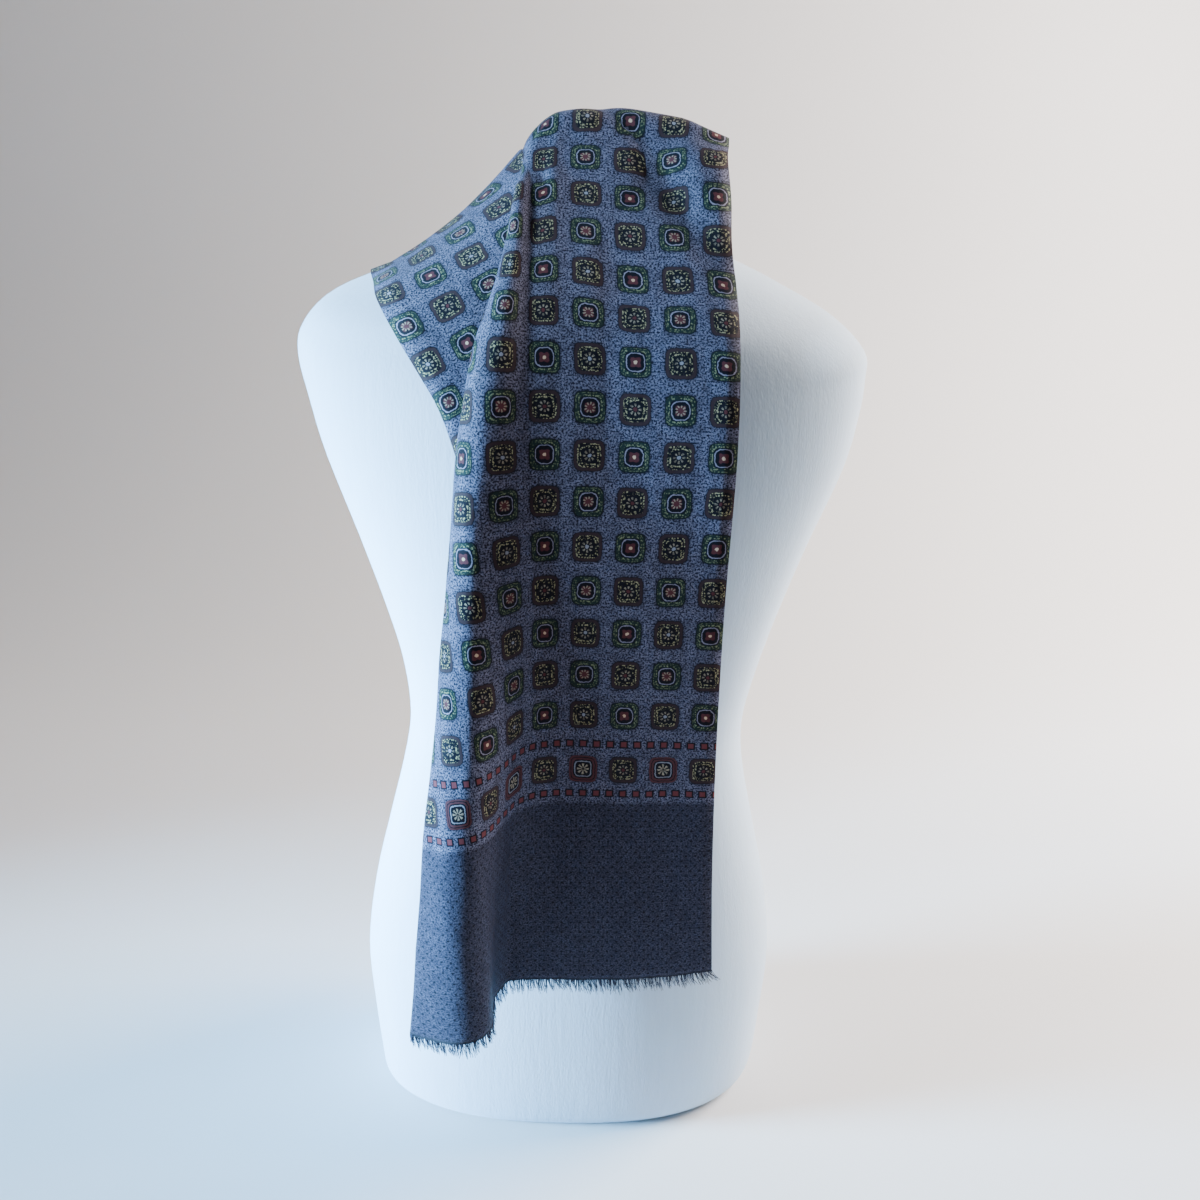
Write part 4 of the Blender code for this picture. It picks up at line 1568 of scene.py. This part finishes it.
@dataclass
class Fringe:
    """Loose threads left at a hem, in uneven clumps."""

    name: str
    node: str
    threads: int = 900
    clump_size: int = 5
    root_jitter: tuple[float, float] = (0.1, 0.9)
    segments: int = 5
    sides: int = 3
    length: float = 0.0104
    length_spread: float = 0.0017
    length_shares: tuple[float, float] = (0.8, 0.9)
    length_limits: tuple[float, float] = (0.35, 1.35)
    radius: float = 0.00034
    taper: float = 0.55
    twist: float = 1.2
    root_overlap: float = 0.0012
    lean: float = 0.0016
    flare: float = 0.006
    flare_power: float = 10.0
    bend_power: float = 1.6
    sway_along: tuple[float, float] = (0.0010, 0.0007)
    sway_out: tuple[float, float] = (0.0008, 0.0006)
    curl: float = 0.0004
    curl_turn: float = 1.5
    seed: int = 7
    piece: Union[bpy.types.Object, None] = field(default=None, init=False)

    def _strand(
        self,
        root: np.ndarray,
        along: np.ndarray,
        side: np.ndarray,
        size: float,
        drift: np.ndarray,
        curl: np.ndarray,
    ) -> list[np.ndarray]:
        """Points of one tapered thread with a slight twist.

        Args:
            root: Where the thread leaves the hem, in metres.
            along: Direction of the hem.
            side: Direction square to the hem.
            size: Length of the thread, in metres.
            drift: How far the tip stands aside.
            curl: How far the thread bows.

        Returns:
            Rings of points from the root to the tip.
        """
        points: list[np.ndarray] = []
        for step in range(self.segments + 1):
            share = step / self.segments
            drop = self.root_overlap - (size + self.root_overlap) * share
            centre = root + drift * share**self.bend_power + curl * math.sin(math.pi * share * self.curl_turn)
            centre = centre + np.array((0.0, 0.0, drop))
            radius = self.radius * (1.0 - self.taper * share)
            for corner in range(self.sides):
                turn = 2.0 * math.pi * corner / self.sides + self.twist * share
                points.append(centre + radius * (math.cos(turn) * along + math.sin(turn) * side))
        return points

    def _strand_faces(self, start: int) -> list[tuple[int, ...]]:
        """Faces of one thread with both ends closed.

        Args:
            start: Number of the thread's first vertex.

        Returns:
            Vertex numbers of each face.
        """
        sides = self.sides
        faces: list[tuple[int, ...]] = []
        for step in range(self.segments):
            for corner in range(sides):
                a = start + sides * step + corner
                b = start + sides * step + (corner + 1) % sides
                faces.append((a, a + sides, b + sides, b))
        end = start + sides * self.segments
        faces.append(tuple(range(start, start + sides)))
        faces.append(tuple(range(end + sides - 1, end - 1, -1)))
        return faces

    def build(self, line: np.ndarray) -> bpy.types.Object:
        """Hang the threads from a hem line.

        Args:
            line: Points of the hem, in metres.

        Returns:
            The fringe's object.
        """
        random = np.random.default_rng(self.seed)
        travelled = np.concatenate(([0.0], np.cumsum(np.linalg.norm(np.diff(line, axis=0), axis=1))))
        run = np.gradient(line, axis=0)
        run /= np.linalg.norm(run, axis=1, keepdims=True)
        shortest, longest = (limit * self.length for limit in self.length_limits)
        clump_count = self.threads // self.clump_size
        clumps = random.normal(0.0, 1.0, (clump_count + 1, 3))
        points: list[np.ndarray] = []
        faces: list[tuple[int, ...]] = []
        tones: list[tuple[float, float, float]] = []
        for number in range(self.threads):
            share = (number + random.uniform(*self.root_jitter)) / self.threads
            mark = share * travelled[-1]
            root = np.array([np.interp(mark, travelled, line[:, i]) for i in range(3)])
            along = np.array([np.interp(mark, travelled, run[:, i]) for i in range(3)])
            side = np.cross(along, (0.0, 0.0, 1.0))
            side /= np.linalg.norm(side)
            clump = clumps[int(share * clump_count)]
            uneven = self.length_shares[0] * clump[2] + self.length_shares[1] * random.normal()
            size = self.length + self.length_spread * uneven
            edge = abs(2.0 * share - 1.0) ** self.flare_power * self.flare * (1.0 if share < 0.5 else -1.0)
            drift = np.array((self.lean, 0.0, 0.0)) - along * edge
            drift = drift + along * (self.sway_along[0] * clump[0] + self.sway_along[1] * random.normal())
            drift = drift + side * (self.sway_out[0] * clump[1] + self.sway_out[1] * random.normal())
            curl = along * random.normal(0.0, self.curl) + side * random.normal(0.0, self.curl)
            tone = random.uniform(0.0, 1.0)
            faces.extend(self._strand_faces(len(points)))
            points.extend(self._strand(root, along, side, max(shortest, min(size, longest)), drift, curl))
            for step in range(self.segments + 1):
                tones.extend([(tone, step / self.segments, 0.0)] * self.sides)
        self.piece = new_piece(self.name, np.array(points), faces)
        add_attribute(self.piece, "thread_tone", np.array(tones))
        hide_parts(self.node)
        return self.piece

    def dress(self, material: bpy.types.Material) -> None:
        """Colour the threads with the shared material and log their size."""
        self.piece.data.materials.append(material)
        report(self.piece)


# Studio.

def add_lamp(data: bpy.types.Light, power: float, colour: Colour, place: Point, target: Point) -> None:
    """Hang a light at a place, aimed at a target.

    Args:
        data: The light, already shaped.
        power: Power in watts.
        colour: Colour of its light.
        place: Where it hangs, in metres.
        target: Point that it is aimed at.
    """
    data.energy = power
    data.color = colour
    lamp = bpy.data.objects.new(data.name, data)
    aim = (Vector(target) - Vector(place)).to_track_quat("-Z", "Y")
    lamp.matrix_world = Matrix.Translation(place) @ aim.to_matrix().to_4x4()
    bpy.context.scene.collection.objects.link(lamp)


@dataclass(frozen=True)
class AreaLight:
    """One soft box."""

    name: str
    place: Point
    target: Point
    size: tuple[float, float]
    power: float
    colour: Colour

    def build(self) -> None:
        """Add the light to the scene."""
        data = bpy.data.lights.new(self.name, "AREA")
        data.shape = "RECTANGLE"
        data.size, data.size_y = self.size
        add_lamp(data, self.power, self.colour, self.place, self.target)


@dataclass(frozen=True)
class SpotLight:
    """One shaded lamp that reaches little beyond the object."""

    name: str
    place: Point
    target: Point
    radius: float
    angle: float
    power: float
    colour: Colour
    softness: float = 0.5

    def build(self) -> None:
        """Add the light to the scene."""
        data = bpy.data.lights.new(self.name, "SPOT")
        data.shadow_soft_size = self.radius
        data.spot_size = math.radians(self.angle)
        data.spot_blend = self.softness
        add_lamp(data, self.power, self.colour, self.place, self.target)


@dataclass
class Studio:
    """Pale floor that sweeps up behind, soft lights and the camera."""

    camera_place: Point = (0.019, -0.872, 0.796)
    pitch: float = 20.0
    roll: float = 1.37
    focal: float = 1089.0
    image: float = 1200.0
    sensor: float = 36.0
    floor_half: float = 4.0
    wall_y: float = 1.6
    wall_height: float = 4.0
    bend: float = 0.9
    bend_steps: int = 12
    world_colour: Colour = (0.82, 0.90, 0.96)
    world_strength: float = 0.115
    lights: tuple[Union[AreaLight, SpotLight], ...] = (
        SpotLight(
            "window_low", place=(-2.3, -0.36, 0.45), target=(0.0, -0.08, 0.20),
            radius=0.30, angle=25.0, power=3000.0, colour=(0.32, 0.65, 1.0),
        ),
        SpotLight(
            "window_middle", place=(-2.3, -0.30, 0.80), target=(0.0, -0.06, 0.58),
            radius=0.28, angle=19.0, power=1300.0, colour=(0.29, 0.65, 1.0),
        ),
        SpotLight(
            "window_high", place=(-1.5, -0.66, 1.80), target=(0.03, -0.03, 0.72),
            radius=0.26, angle=20.0, power=310.0, colour=(0.58, 0.80, 1.0),
        ),
        AreaLight(
            "right_fill", place=(1.8, 0.66, 1.40), target=(0.05, 0.0, 0.55),
            size=(1.1, 1.2), power=188.0, colour=(1.0, 0.89, 0.82),
        ),
    )

    def build(self) -> None:
        """Add the sweep, the world, the lights and the camera."""
        self._sweep()
        world = bpy.data.worlds.new("studio")
        world.use_nodes = True
        background = world.node_tree.nodes["Background"]
        background.inputs[0].default_value = (*self.world_colour, 1.0)
        background.inputs[1].default_value = self.world_strength
        bpy.context.scene.world = world
        for light in self.lights:
            light.build()
        self._camera()

    def _sweep(self) -> None:
        """Floor and backdrop in one curved sheet."""
        profile = [(-self.floor_half, 0.0)]
        for step in range(self.bend_steps + 1):
            turn = 0.5 * math.pi * step / self.bend_steps
            reach = self.wall_y - self.bend + self.bend * math.sin(turn)
            profile.append((reach, self.bend * (1.0 - math.cos(turn))))
        profile.append((self.wall_y, self.wall_height))
        points = [(x, y, z) for y, z in profile for x in (-self.floor_half, self.floor_half)]
        faces = [(2 * i, 2 * i + 1, 2 * i + 3, 2 * i + 2) for i in range(len(profile) - 1)]
        sweep = new_object("sweep", points, faces)
        sweep.data.materials.append(FloorFinish().make())

    def _camera(self) -> None:
        """Camera at the height, tilt and field of view that the photograph was taken with."""
        data = bpy.data.cameras.new("camera")
        data.sensor_width = self.sensor
        data.lens = self.sensor * self.focal / self.image
        camera = bpy.data.objects.new("camera", data)
        tilt = Matrix.Rotation(math.radians(90.0 - self.pitch), 4, "X")
        roll = Matrix.Rotation(math.radians(self.roll), 4, "Z")
        camera.matrix_world = Matrix.Translation(self.camera_place) @ tilt @ roll
        bpy.context.scene.collection.objects.link(camera)
        bpy.context.scene.camera = camera


def plain(box: Sequence[Sequence[float]]) -> list[list[float]]:
    """Turn a box's lowest and highest corner into plain lists of numbers."""
    return [[float(value) for value in corner] for corner in box]


def main() -> None:
    """Build the studio, the form, the scarf and its fringes."""
    logging.basicConfig(level=logging.INFO, format="%(message)s")
    Studio().build()
    form = DressForm()
    form.build()
    form.dress()
    scarf = Scarf()
    scarf.build(form.tree())
    scarf.dress()
    thread = ThreadFinish().make()
    fringes = (
        Fringe("front_threads", "fringe_front"),
        Fringe("back_threads", "fringe_back", threads=740, lean=0.0, seed=11),
    )
    for fringe, line in zip(fringes, (scarf.middle[0], scarf.middle[-1])):
        fringe.build(line)
        fringe.dress(thread)
    bpy.context.view_layer.update()


if __name__ == "__main__":
    main()
